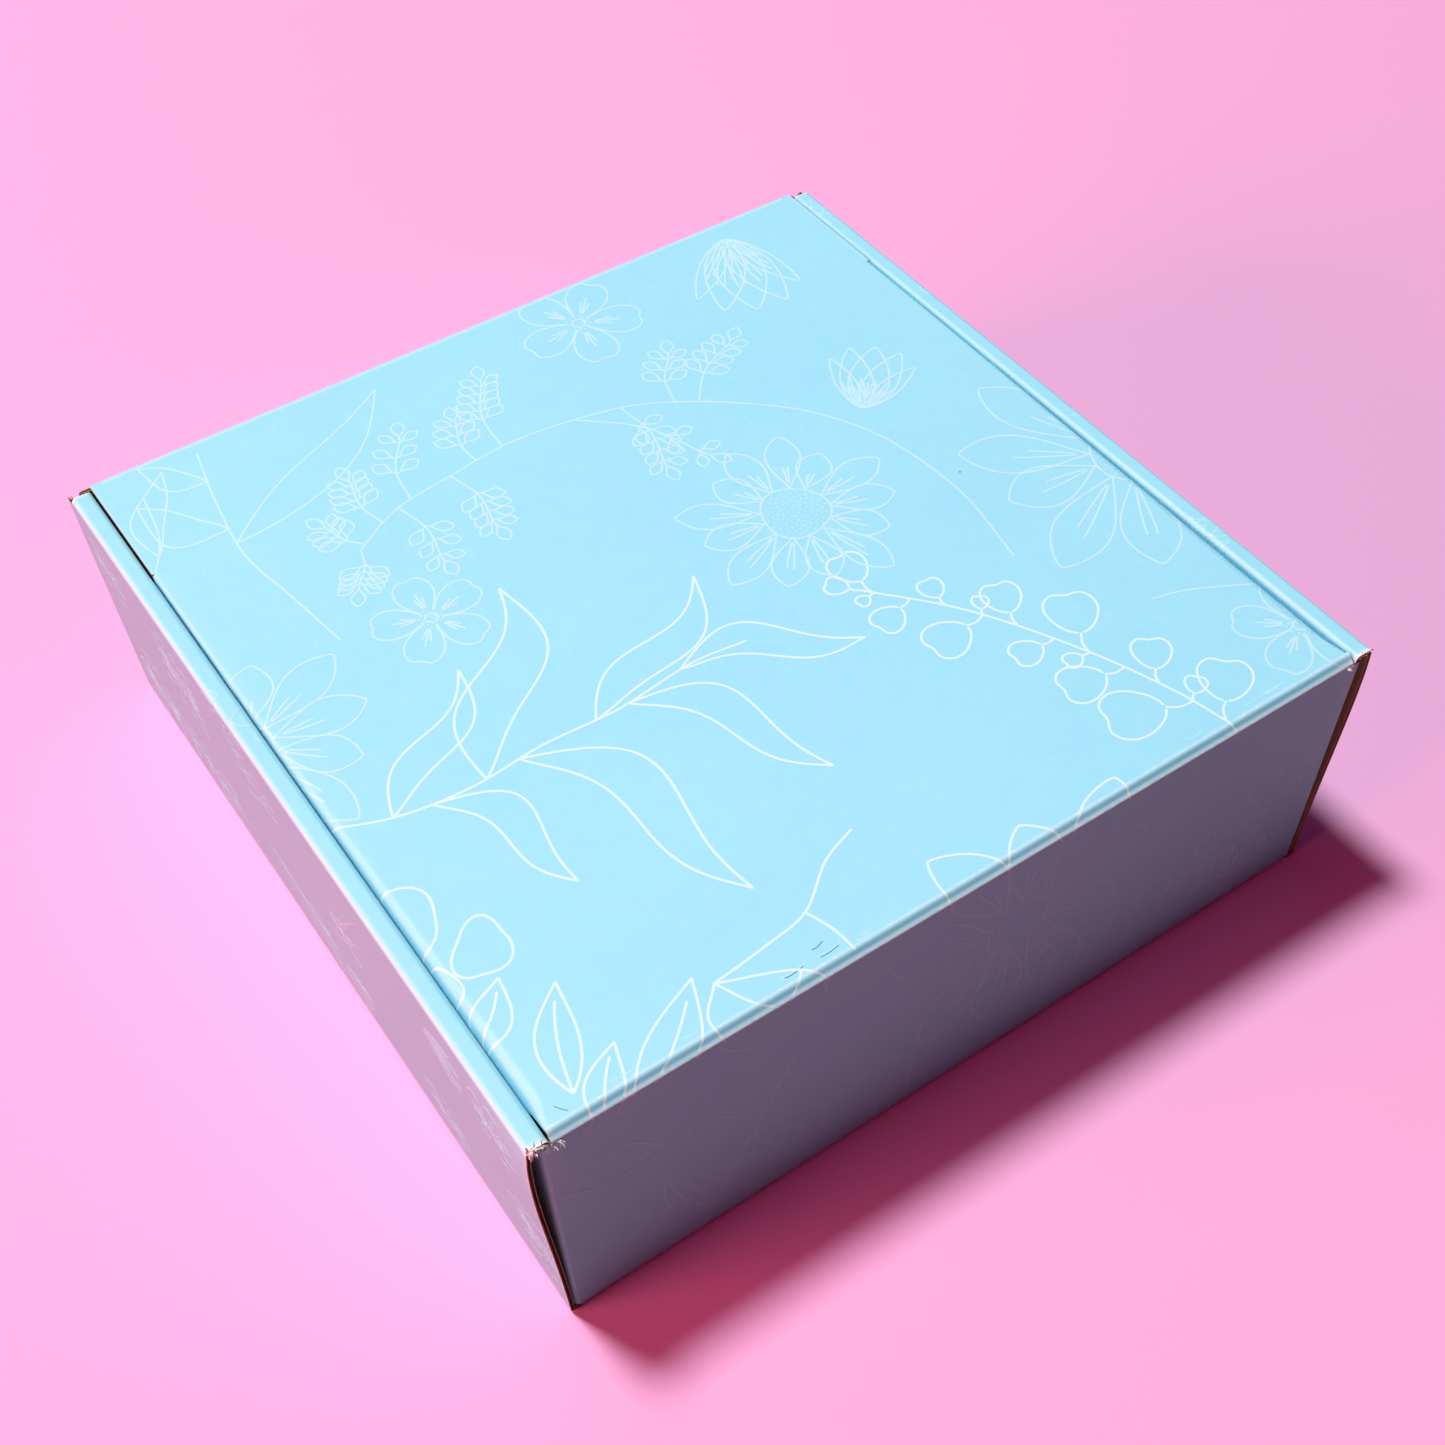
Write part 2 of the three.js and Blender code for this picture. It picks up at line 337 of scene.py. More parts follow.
# Paper: broad cloudy mottle, the fine grain of its fibres, and a few long fibres
def makePaperGroup():
    group, entry, result = newGroup(
        "paperFibres",
        [("Vector", "NodeSocketVector", None), ("Fibre Scale", "NodeSocketFloat", 900.0)],
        [("Mottle", "NodeSocketFloat"), ("Grain", "NodeSocketFloat"), ("Fibres", "NodeSocketFloat")],
    )
    place, scale = entry.outputs["Vector"], entry.outputs["Fibre Scale"]
    broad = noise(group, place, 14.0, 2.0)
    close = noise(group, place, 120.0, 4.0)
    mottle = maths(group, "MULTIPLY_ADD", close, 0.45, maths(group, "MULTIPLY", broad, 0.55))
    grain = noise(group, place, scale, 5.0, 0.7)
    stretch = addNode(group, "ShaderNodeMapping", {"Vector": place, "Scale": (1.0, 0.22, 0.22)})
    stretch.inputs["Rotation"].default_value = (0.3, 0.5, 0.7)
    strands = noise(group, stretch.outputs[0], maths(group, "MULTIPLY", scale, 0.9), 2.0)
    for key, value in (("Mottle", mottle), ("Grain", grain), ("Fibres", ranged(group, strands, 0.58, 0.72))):
        group.links.new(value, result.inputs[key])
    return group


# Washboard: the flutes show through the printed liner as faint even waves
def makeWashboardGroup():
    group, entry, result = newGroup(
        "washboard",
        [("Across", "NodeSocketFloat", 0.0), ("Pitch", "NodeSocketFloat", board["pitch"] * mm)],
        [("Height", "NodeSocketFloat")],
    )
    turns = maths(group, "DIVIDE", entry.outputs["Across"], entry.outputs["Pitch"])
    wave = maths(group, "SINE", maths(group, "MULTIPLY", turns, 2 * math.pi))
    group.links.new(maths(group, "MULTIPLY_ADD", wave, 0.5, 0.5), result.inputs["Height"])
    return group


# Wear: rubbed where the piece's own wear value beats the noise
def makeWearGroup():
    group, entry, result = newGroup(
        "rubbedPaper",
        [("Vector", "NodeSocketVector", None), ("Wear", "NodeSocketFloat", 0.0),
         ("Scale", "NodeSocketFloat", 700.0)],
        [("Mask", "NodeSocketFloat")],
    )
    speckle = noise(group, entry.outputs["Vector"], entry.outputs["Scale"], 4.0, 0.65)
    edge = maths(group, "SUBTRACT", maths(group, "ADD", entry.outputs["Wear"], speckle), 1.0)
    group.links.new(ranged(group, edge, -0.05, 0.25), result.inputs["Mask"])
    return group


# Specks: small dark dots, one here and there in a field of cells
def makeSpeckGroup():
    group, entry, result = newGroup(
        "specks",
        [("Vector", "NodeSocketVector", None), ("Scale", "NodeSocketFloat", 70.0),
         ("Size", "NodeSocketFloat", 0.03)],
        [("Mask", "NodeSocketFloat")],
    )
    cells = addNode(group, "ShaderNodeTexVoronoi",
                    {"Vector": entry.outputs["Vector"], "Scale": entry.outputs["Scale"]})
    pick = addNode(group, "ShaderNodeSeparateColor", {"Color": cells.outputs["Color"]})
    few = maths(group, "GREATER_THAN", pick.outputs[0], 0.86)
    size = maths(group, "MULTIPLY", entry.outputs["Size"], pick.outputs[1])
    near = maths(group, "LESS_THAN", cells.outputs["Distance"], size)
    group.links.new(maths(group, "MULTIPLY", few, near), result.inputs["Mask"])
    return group


paperGroup = makePaperGroup()
washboardGroup = makeWashboardGroup()
wearGroup = makeWearGroup()
speckGroup = makeSpeckGroup()


# A group node with its inputs joined or set
def addGroup(tree, group, inputs):
    made = addNode(tree, "ShaderNodeGroup", node_tree=group)
    for key, value in inputs.items():
        join(tree, value, made.inputs[key])
    return made


paperLook = {
    "mottle": (0.3, 0.7),  # noise from the dark tone to the light one
    "speckScale": 62.0,
    "speckSize": 0.034,
    "speckShown": 0.55,
    "grainDepth": 0.0001,
    "waveDepth": 0.00008,
    "specular": 0.4,
}


# Paper or ink from its settings: two tones by the mottle, fibres, rubbed wear with a painted highlight along
# folds and edges, specks and a bump
def paperMaterial(name, settings):
    material = bpy.data.materials.new(name)
    material.use_nodes = True
    tree = material.node_tree
    shader = tree.nodes["Principled BSDF"]
    place = addNode(tree, "ShaderNodeTexCoord").outputs["Object"]
    paper = addGroup(tree, paperGroup, {"Vector": place, "Fibre Scale": settings["fibreScale"]})
    light, dark = linear(*settings["light"]), linear(*settings["dark"])
    colour = mixColour(tree, ranged(tree, paper.outputs["Mottle"], *paperLook["mottle"]), dark, light)
    fibres = maths(tree, "MULTIPLY", paper.outputs["Fibres"], settings["fibreShow"])
    colour = mixColour(tree, fibres, colour, linear(*settings["fibre"]))
    if "wornAndHighlight" in settings:
        wearAndHighlight = addNode(tree, "ShaderNodeAttribute", attribute_name="wearAndHighlight").outputs["Fac"]
        rubbed = addGroup(tree, wearGroup, {"Vector": place, "Wear": wearAndHighlight}).outputs["Mask"]
        # painted highlight: the colour lightens towards the pale tone in step with the piece's value,
        # brightest along folds and edges where they catch the light; the rubbed mask is real wear
        paintedHighlight = maths(tree, "MULTIPLY", wearAndHighlight, settings["highlightShare"])
        colour = mixColour(tree, maths(tree, "MAXIMUM", paintedHighlight, rubbed), colour, linear(*settings["wornAndHighlight"]))
    if "speck" in settings:
        specks = addGroup(tree, speckGroup, {"Vector": place, "Scale": paperLook["speckScale"],
                                             "Size": paperLook["speckSize"]})
        shown = maths(tree, "MULTIPLY", specks.outputs["Mask"], paperLook["speckShown"])
        colour = mixColour(tree, shown, colour, linear(*settings["speck"]))
    tree.links.new(colour, shader.inputs["Base Color"])
    low, high = settings["roughness"]
    rough = maths(tree, "MULTIPLY_ADD", paper.outputs["Grain"], high - low, low)
    tree.links.new(rough, shader.inputs["Roughness"])
    shader.inputs["Specular IOR Level"].default_value = settings.get("specular", paperLook["specular"])
    bump = addNode(tree, "ShaderNodeBump",
                   {"Height": paper.outputs["Grain"], "Strength": settings["grainBump"],
                    "Distance": paperLook["grainDepth"]})
    if "across" in settings:
        axes = addNode(tree, "ShaderNodeSeparateXYZ", {"Vector": place})
        waves = addGroup(tree, washboardGroup, {"Across": axes.outputs[settings["across"]]})
        bump = addNode(tree, "ShaderNodeBump",
                       {"Height": waves.outputs["Height"], "Strength": settings["waveBump"],
                        "Distance": paperLook["waveDepth"], "Normal": bump.outputs["Normal"]})
    tree.links.new(bump.outputs["Normal"], shader.inputs["Normal"])
    return material


print("materials")
printedFinish = {
    "light": (168, 233, 251), "dark": (162, 229, 248), "fibre": (188, 239, 252), "fibreShow": 0.25,
    # the pale tone serves both rubbed wear and the painted highlight along folds and edges
    "wornAndHighlight": (242, 250, 252), "highlightShare": 0.55, "speck": (86, 96, 104), "fibreScale": 900.0,
    "roughness": (0.42, 0.6), "grainBump": 0.16, "waveBump": 0.12,
}
kraftFinish = {
    "light": (190, 154, 112), "dark": (172, 134, 94), "fibre": (128, 92, 60), "fibreShow": 0.55,
    "speck": (80, 56, 36), "fibreScale": 700.0, "roughness": (0.75, 0.92), "grainBump": 0.4,
    "waveBump": 0.25, "specular": 0.2,
}
cutFinish = {
    "light": (204, 172, 152), "dark": (146, 106, 88), "fibre": (234, 216, 202), "fibreShow": 0.6,
    "fibreScale": 1600.0, "roughness": (0.85, 0.98), "grainBump": 0.7, "specular": 0.1,
}
wavedFinish = {
    "light": (150, 112, 80), "dark": (128, 92, 62), "fibre": (96, 66, 44), "fibreShow": 0.5,
    "fibreScale": 700.0, "roughness": (0.8, 0.95), "grainBump": 0.4, "specular": 0.15,
}
inkFinish = {
    "light": (232, 251, 254), "dark": (224, 248, 252), "fibre": (244, 253, 254), "fibreShow": 0.3,
    "fibreScale": 1400.0, "roughness": (0.45, 0.6), "grainBump": 0.1,
}
# pale ink: the lid's pale print, and the painted highlights of wrinkles on the lid
paleInkAndHighlightFinish = {
    **inkFinish, "light": (206, 243, 251), "dark": (200, 239, 249), "fibre": (218, 246, 251),
}
# faint ink: the pale print of the side and front walls, and on the back wall a dimmed copy of the lid's ink
# as painted shade
faintAndShadedInkFinish = {
    **inkFinish, "light": (186, 240, 253), "dark": (181, 237, 251), "fibre": (196, 243, 253),
}
# dark scuffs, also used for the painted shade beside wrinkles
scuffAndWrinkleShadeFinish = {
    "light": (112, 150, 166), "dark": (84, 112, 126), "fibre": (150, 180, 190), "fibreShow": 0.6,
    "fibreScale": 1600.0, "roughness": (0.8, 0.95), "grainBump": 0.5, "specular": 0.1,
}
tornFinish = {
    "light": (246, 240, 236), "dark": (226, 216, 210), "fibre": (250, 248, 246), "fibreShow": 0.6,
    "fibreScale": 2200.0, "roughness": (0.9, 0.98), "grainBump": 0.9, "specular": 0.1,
}
printedAcrossY = paperMaterial("printedPaperAcrossY", {**printedFinish, "across": "Y"})
printedAcrossZ = paperMaterial("printedPaperAcrossZ", {**printedFinish, "across": "Z"})
kraftAcrossY = paperMaterial("kraftPaperAcrossY", {**kraftFinish, "across": "Y"})
kraftAcrossZ = paperMaterial("kraftPaperAcrossZ", {**kraftFinish, "across": "Z"})
cutPaper = paperMaterial("cutBoardEdge", cutFinish)
wavedPaper = paperMaterial("wavedPaper", wavedFinish)
printInk = paperMaterial("whitePrintInk", inkFinish)
paleInkAndHighlight = paperMaterial("palePrintInkAndHighlight", paleInkAndHighlightFinish)
faintAndShadedInk = paperMaterial("faintAndShadedPrintInk", faintAndShadedInkFinish)
scuffAndWrinkleShadePaper = paperMaterial("scuffAndWrinkleShadePaper", scuffAndWrinkleShadeFinish)
tornPaper = paperMaterial("tornPaper", tornFinish)
boardAcrossY = (printedAcrossY, kraftAcrossY, cutPaper, wavedPaper)
boardAcrossZ = (printedAcrossZ, kraftAcrossZ, cutPaper, wavedPaper)


shape = {
    "floorFold": 1.8,  # outside radius of the folds along the floor
    "rollOuterFold": 1.9,  # the two folds of the rolled tops
    "rollInnerFold": 1.7,
    "hingeTopFold": 1.6,  # lid to hinge strip
    "hingeDip": 1.1,  # where the strip's steep part meets its flatter ledge
    "hingeLowFold": 1.2,  # ledge to back wall
    "dipIn": 1.25,  # the dip's place, in from the wall and down from the lid
    "dipDown": 1.4,
    "frontFold": 1.5,  # lid to tuck flap
    "cornerFold": 1.7,  # end walls to corner flaps
    "bow": 1.3,  # how far the side walls bow out at the hinge end
    "bowReach": 28.0,
    "ripple": 0.16,  # unevenness of the large panels
    "tuckLength": 45.0,
}
lidHalf = lidHigh[0]
lidFront = lidLow[1]
spineInY = lidHigh[1] + 0.15
spineLowZ = boxTop - (halfDepth - spineInY)
outerLean = (halfWidth - floorHigh[0] - board["thick"] - board["gap"]) / boxTop
innerLean = (frontHigh[0] - floorHigh[0]) / frontHigh[2]
tuckLean = math.asin((tuckHigh[1] - (lidFront + board["thick"])) / shape["tuckLength"])


# Unevenness of a panel in place: a slow sum of sines of its two coordinates
def ripple(a, b, phase=0.0):
    first = np.sin(a / 41.0 + 1.3 * np.sin(b / 57.0 + phase) + phase)
    second = np.sin(b / 33.0 + 1.1 * np.sin(a / 49.0 - phase) + 2 * phase)
    return shape["ripple"] * (0.6 * first + 0.4 * second)


# Rubbed edges and painted highlights along folds and edges: the value falls off with the distance to the
# nearest of some lines, each given as the axis that measures it (0 counts from the middle both ways), place,
# reach and strength
def wearAndHighlightNear(*lines):
    def measure(points):
        total = np.zeros(len(points))
        for axis, place, reach, strength in lines:
            value = np.abs(points[:, 0]) if axis == 0 else points[:, axis]
            total = np.maximum(total, strength * np.exp(-(((value - place) / reach) ** 2)))
        return total
    return measure


# Rises from 0 at both ends of a span to 1, over the given distance
def faded(value, low, high, reach):
    return smooth((value - low) / reach) * smooth((high - value) / reach)


frontCorner = np.array([lidFront, boxTop])
tuckDrop = shape["tuckLength"] + board["thick"] + board["gap"]  # from the lid's top to the flap's edge
tuckEnd = frontCorner + tuckDrop * np.array([math.sin(tuckLean), -math.cos(tuckLean)])
longPath = roundedPath(
    [(-halfDepth, frontHigh[2]), (-halfDepth, 0), (halfDepth, 0), (halfDepth, spineLowZ + 0.2),
     (halfDepth - shape["dipIn"], boxTop - shape["dipDown"]), (spineInY, boxTop), frontCorner, tuckEnd],
    [shape["floorFold"], shape["floorFold"], shape["hingeLowFold"], shape["hingeDip"],
     shape["hingeTopFold"], shape["frontFold"]],
)
frontFoot, backFoot, lowCrease, hingeDip, highCrease, frontCrease = longPath["folds"]
creased = [fold for fold in longPath["folds"] if fold != hingeDip]  # the dip is bent, not creased
highCreaseY = alongPath(longPath, np.array(highCrease[1]), 0.0)[0]
cornerStartX = floorHigh[0] - shape["cornerFold"]  # where the end walls start to turn the corner

split = {
    "hinge": 0.36,  # from each hinge fold to the end of its blended strip
    "frontBack": -146.1,  # y where the lid's rigid part ends at the tuck fold
    "cornerIn": 1.2,  # the lid's flat front corners end short of its front fold
    "frontPast": 1.8,  # from the tuck fold to the rigid flap
    "sideX": 140.0,  # x where the lid's rigid part ends at a dust flap
    "sideLowZ": 94.5,  # z where the rigid dust flap starts
    "rollPast": 1.0,  # from each roll fold to the walls' own pieces
}


# Distance along the long strip for a y on the lid
def lidDistance(y):
    return highCrease[1] + highCreaseY - y


# The long strip at x, distance and depth, its ends leaning out with height
def placeWall(x, distance, depth):
    a, height = alongPath(longPath, distance, 0.0)
    fade = faded(distance, 8.0, frontFoot[0], 20.0) + faded(distance, backFoot[1], lowCrease[0], 20.0)
    fade = fade + faded(distance, frontFoot[1], backFoot[0], 20.0)
    inward = depth * crushed(distance, creased) + fade * ripple(x, distance, 0.7)
    y, z = alongPath(longPath, distance, inward)
    wide = 1 + innerLean * height / cornerStartX
    return np.stack([x * wide, y + 0 * x, z + 0 * x], -1)


# The same without the lean, for the creases and the spine
def placeHinge(x, distance, depth):
    y, z = alongPath(longPath, distance, depth * crushed(distance, creased))
    return np.stack([x + 0 * y, y + 0 * x, z + 0 * x], -1)


# The lid: flat, a little uneven away from its folds
def placeLid(x, y, depth):
    fade = faded(y, lidFront, spineInY, 30.0) * faded(x, -lidHalf, lidHalf, 30.0)
    thin = crushed(lidDistance(y), creased)
    return np.stack([x, y, boxTop - depth * thin - fade * (ripple(x, y) + shape["ripple"])], -1)


# Front wall, floor and back wall: one strip of board in three pieces, cut where its body or
# its CAD panel changes, with four holes in the floor for the lock tabs
def buildLongStrip():
    wallX = stations([-cornerStartX, cornerStartX], 6.0)
    arcStep, wallStep = 0.25, 6.0
    end = frontFoot[1] + 1.0
    vs = stations([0, 12, frontFoot[0], frontFoot[1], end], [2.0, wallStep, arcStep, 1.0])
    piece = makePiece("frontWall", boardLayers(placeWall, wallX, vs), boardAcrossZ,
                      wearAndHighlightNear((2, frontHigh[2], 1.2, 0.6), (2, 0.6, 1.5, 0.45)))
    finishPiece(piece, "tray", "wall_board", "front_wall")

    slotIn = floorHigh[0] - 2 * board["thick"] - 3 * board["gap"]
    slotHalf, slotMiddle = 22.0, 80.0
    floorY = -halfDepth + shape["floorFold"] - frontFoot[1]
    ends = [side * slotMiddle + offset - floorY for side in (-1, 1) for offset in (-slotHalf, slotHalf)]
    xs = stations([-cornerStartX, -slotIn, slotIn, cornerStartX], [1.0, 6.0, 1.0])
    vs = stations([end, *ends, backFoot[0] - 1.0], 6.0)

    def aroundSlots(x, distance):
        alongY = np.abs(np.abs(distance + floorY) - slotMiddle)
        return ~((np.abs(x) > slotIn) & (alongY < slotHalf))
    piece = makePiece("floorPanel", boardLayers(placeWall, xs, vs, aroundSlots), boardAcrossY)
    finishPiece(piece, "tray", "inner_board", "base_panel")

    top = lowCrease[0] - split["hinge"]
    vs = stations([backFoot[0] - 1.0, backFoot[0], backFoot[1], top - 4, top],
                  [1.0, arcStep, wallStep, 1.0])
    piece = makePiece("backWall", boardLayers(placeWall, wallX, vs), boardAcrossZ,
                      wearAndHighlightNear((2, 0.6, 1.5, 0.45), (0, floorHigh[0] + 1.9, 0.9, 0.4)))
    finishPiece(piece, "tray", "wall_board", "back_wall")


# The hinge strip and its two creases, each crease baked in place where it is built.
def buildHinge():
    xs = stations([-lidHalf, lidHalf], 6.0)
    reach = split["hinge"]
    low = (lowCrease[0] - reach, lowCrease[1] + reach)
    high = (highCrease[0] - reach, highCrease[1] + reach)
    # painted highlight along the low crease, the lid's edge and the strip's ends, together with real rubbed
    # wear
    hingeWearAndHighlight = wearAndHighlightNear((2, spineLowZ + 0.3, 0.5, 0.75), (2, boxTop, 0.16, 0.5), (0, lidHalf, 1.5, 0.6))
    spine = makePiece("hingeSpine", boardLayers(placeHinge, xs, stations([low[1], high[0]], 0.25)),
                      boardAcrossY, hingeWearAndHighlight)
    finishPiece(spine, "hinge", "hinge_board", "hinge_spine")
    creases = (
        ("hingeLowCrease", low, "tray", "hinge", (halfDepth, spineLowZ), (0.5, 0.75)),
        ("hingeHighCrease", high, "hinge", "lid", (spineInY, boxTop), (0.75, 1.0)),
    )
    for name, span, first, second, pivot, halfTurns in creases:
        piece = makePiece(name, boardLayers(placeHinge, xs, stations(span, 0.08)), boardAcrossY, hingeWearAndHighlight)
        blendPiece(piece)


# Bakes a strip's placement into its mesh and leaves it where it was built
def blendPiece(piece):
    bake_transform(piece)


# Rides a piece on its body and lets it stand for CAD nodes
def finishPiece(piece, body, slotName, *nodes):
    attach(piece, body)
    if nodes:
        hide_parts(*nodes)


dustFront, dustBack = dustLow[1], dustHigh[1]
foldBack = highCreaseY - split["hinge"]  # the side folds run on past the dust flaps to here
tuckShape = {"half": tuckHigh[0], "taper": 6.0, "corner": 14.0}


# Half the tuck flap's width at a distance past its fold: it tapers, then rounds its corners
def tuckHalf(gone):
    half = tuckShape["half"] - tuckShape["taper"] * np.clip(gone, 0, None) / shape["tuckLength"]
    radius = tuckShape["corner"]
    into = np.clip(gone - (tuckTotal - radius), 0, radius)
    return half - radius + np.sqrt(np.clip(radius ** 2 - into ** 2, 0, None))


tuckTotal = longPath["length"] - frontCrease[1]


# The tuck flap and its fold, x as a share of half the width
def placeTuck(share, distance, depth):
    y, z = alongPath(longPath, distance, depth * crushed(distance, creased))
    half = tuckHalf(distance - frontCrease[1])
    return np.stack([share * half, y + 0 * share, z + 0 * share], -1)


# The strip from the lid to the tuck flap, baked in place
def blendTuck(piece):
    blendPiece(piece)


# The lid without its folded edges, the fold of the tuck flap, and the tuck flap
def buildLid():
    foldX, half = tuckShape["half"], lidHalf
    xs = stations([-half, -foldX, -split["sideX"], split["sideX"], foldX, half],
                  [1.0, 1.0, 5.0, 1.0, 1.0])
    ys = stations([lidFront + split["cornerIn"], split["frontBack"], dustFront, foldBack - 3, foldBack],
                  [0.6, 5.0, 5.0, 0.6])

    def besideFolds(x, y):
        front = (np.abs(x) < foldX) & (y < split["frontBack"])
        sides = (np.abs(x) > split["sideX"]) & (y > dustFront)
        return ~(front | sides)
    wearAndHighlight = wearAndHighlightNear((0, half, 0.7, 0.5), (1, spineInY - 0.8, 0.5, 0.35), (1, lidFront, 0.8, 0.45))
    piece = makePiece("lidPanel", boardLayers(placeLid, xs, ys, besideFolds), boardAcrossY, wearAndHighlight)
    finishPiece(piece, "lid", "lid_board", "lid_panel")

    shares = stations([-1, 1], 0.04)
    start = lidDistance(split["frontBack"])
    past = frontCrease[1] + split["frontPast"]
    vs = stations([start, frontCrease[0], frontCrease[1], past], [0.5, 0.2, 0.5])
    piece = makePiece("tuckCrease", boardLayers(placeTuck, shares, vs), boardAcrossY,
                      wearAndHighlightNear((2, boxTop, 0.6, 0.45)))
    blendTuck(piece)

    bottom = longPath["length"]
    vs = stations([past, bottom - tuckShape["corner"], bottom - 2, bottom], [4.0, 1.0, 0.2])
    piece = makePiece("tuckFlap", boardLayers(placeTuck, shares, vs), boardAcrossZ,
                      wearAndHighlightNear((2, tuckLow[2], 0.9, 0.6)))
    finishPiece(piece, "tuck", "flap_board", "tuck_flap")


dust = {
    "endTaper": 2.4,  # how much tighter the fold gets again right at the hinge
    "lean": math.radians(3.0),
    "depth": 42.0,
    "slope": 16.0,
    "corner": 8.0,
    "softFront": 1.5,  # radius of the fold at its front end
    "softBack": 3.9,  # and at the hinge end, where the board is most rounded
}


# Outside radius of the lid's side fold at a y: it grows towards the hinge end
def foldRadius(y):
    grow = smooth((y - dustFront) / (dustBack - dustFront))
    radius = dust["softFront"] + (dust["softBack"] - dust["softFront"]) * grow
    return radius - dust["endTaper"] * smooth((y - dustBack + 2) / (foldBack - dustBack + 2))


# X of the middle of the side fold's round for a radius
def foldMiddle(radius):
    cornerX = lidHalf + (boxTop - dustPivot[1]) * math.tan(dust["lean"])
    return cornerX - radius * math.tan((math.pi / 2 + dust["lean"]) / 2)


# The lid's side fold on the right: at a share 0 to 1 along the flat, 1 to 2 round the fold and
# 2 to 3 down the flap
def placeDustFold(y, share, depth):
    radius = foldRadius(y)
    turn = math.pi / 2 + dust["lean"]
    middleX, middleZ = foldMiddle(radius), boxTop - radius
    angle = np.clip(share - 1, 0, 1) * turn
    depth = depth * (1 - board["crush"] * np.exp(-(((share - 1.5) / 0.5) ** 2)))
    x = middleX + (radius - depth) * np.sin(angle)
    z = middleZ + (radius - depth) * np.cos(angle)
    flat = np.clip(1 - share, 0, 1) * (middleX - split["sideX"])
    foot = middleZ - radius * math.sin(dust["lean"])
    down = np.clip(share - 2, 0, 1) * (foot - split["sideLowZ"]) / math.cos(dust["lean"])
    x = x - flat - down * math.sin(dust["lean"])
    return np.stack([x, y + 0 * x, z - down * math.cos(dust["lean"])], -1)


dustPivot = np.array([lidHalf - board["thick"], boxTop - board["thick"] - board["gap"]])


# Depth of the dust flap below its pivot at a y: sloping ends with rounded corners
def dustDepth(y):
    fromEnd = np.minimum(y - dustFront, dustBack - y)
    slope = dust["depth"] * fromEnd / dust["slope"]
    rounding = dust["corner"]
    gap = (slope - dust["depth"]) / rounding
    soft = -np.log1p(np.exp(-np.clip(gap * 3, -50, 50))) * rounding / 3
    return np.maximum(dust["depth"] + soft, 5.2)


# The dust flap on the right, v from 0 at the fold strip to 1 at its free edge
def placeDust(y, v, depth):
    x0, z0 = dustEdge
    total = dustDepth(y) - (dustPivot[1] - z0)
    down = v * total
    inward = depth + 0.6 * ripple(y, down, 2.1) * smooth(v * 3)
    x = x0 - down * math.sin(dust["lean"]) - inward * math.cos(dust["lean"])
    z = z0 - down * math.cos(dust["lean"]) + inward * math.sin(dust["lean"])
    return np.stack([x, y + 0 * x, z], -1)


atEdge = placeDustFold(np.array(0.0), np.array(3.0), 0.0)
dustEdge = (atEdge[0], atEdge[2])


# The same shape on the other side of the box
def mirrored(place, side):
    def flipped(u, v, w):
        return place(u, v, w) * np.array([side, 1, 1])
    return flipped


# The strip from the lid to the dust flap of one side, baked in place
def blendDust(piece):
    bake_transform(piece)


# Past the end of the dust flap, only the round of the fold goes on
def besideFlap(y, share):
    return ~((y > dustBack) & (share > 1.9))


# On each side, the fold strip with the top of the flap, then the rest of the flap
def buildDustFlaps():
    for word, side in (("Left", -1), ("Right", 1)):
        body = f"dust_{word.lower()}"
        ys = stations([dustFront, dustFront + 4, dustBack - 4, dustBack, foldBack], [0.5, 4.0, 0.5, 0.5])
        shares = stations([0, 1, 2, 3], [0.5, 0.0625, 0.25])
        layers = boardLayers(mirrored(placeDustFold, side), ys, shares, besideFlap, alongV=True)
        piece = makePiece(f"dustCrease{word}", layers, boardAcrossY, wearAndHighlightNear((2, boxTop - 1, 0.8, 0.3)))
        blendDust(piece)
        ys = stations([dustFront, dustFront + 24, dustBack - 24, dustBack], [0.8, 5.0, 0.8])
        layers = boardLayers(mirrored(placeDust, side), ys, stations([0, 0.7, 1], [0.175, 0.1]), alongV=True)
        piece = makePiece(f"dustFlap{word}", layers, boardAcrossY, wearAndHighlightNear((2, dustLow[2], 0.9, 0.6)))
        finishPiece(piece, body, "flap_board", f"dust_flap_{word.lower()}")


cornerSideX = halfWidth - outerLean * boxTop
innerTopX = topLow[0]
sidePath = roundedPath(
    [(cornerStartX, 0), (cornerSideX, 0), (halfWidth, boxTop), (innerTopX, boxTop),
     (innerTopX - innerLean * (boxTop - innerLow[2]), innerLow[2])],
    [shape["floorFold"], shape["rollOuterFold"], shape["rollInnerFold"]],
)
sideFoot, rollOuter, rollInner = sidePath["folds"]


# The right side wall at a y, distance and depth. It bows out at the hinge end, most at three
# quarters of its height: a fall-off along y times a sine of the height.
def placeSide(y, distance, depth):
    x, z = alongPath(sidePath, distance, 0.0)
    rise = np.clip(z / boxTop, 0, 1)
    onOuter = smooth((rollOuter[0] - distance) / 4.0)
    bow = shape["bow"] * np.exp(-(((halfDepth - y) / shape["bowReach"]) ** 2))
    bow = bow * np.sin(math.pi * rise ** 2.2) * onOuter
    fade = faded(distance, sideFoot[1], rollOuter[0], 18.0) + faded(distance, rollInner[1],
                                                                   sidePath["length"], 18.0)
    inward = depth * crushed(distance, sidePath["folds"]) + fade * ripple(y, distance, 1.9)
    x, z = alongPath(sidePath, distance, inward)
    return np.stack([x + bow, y + 0 * x, z + 0 * y], -1)


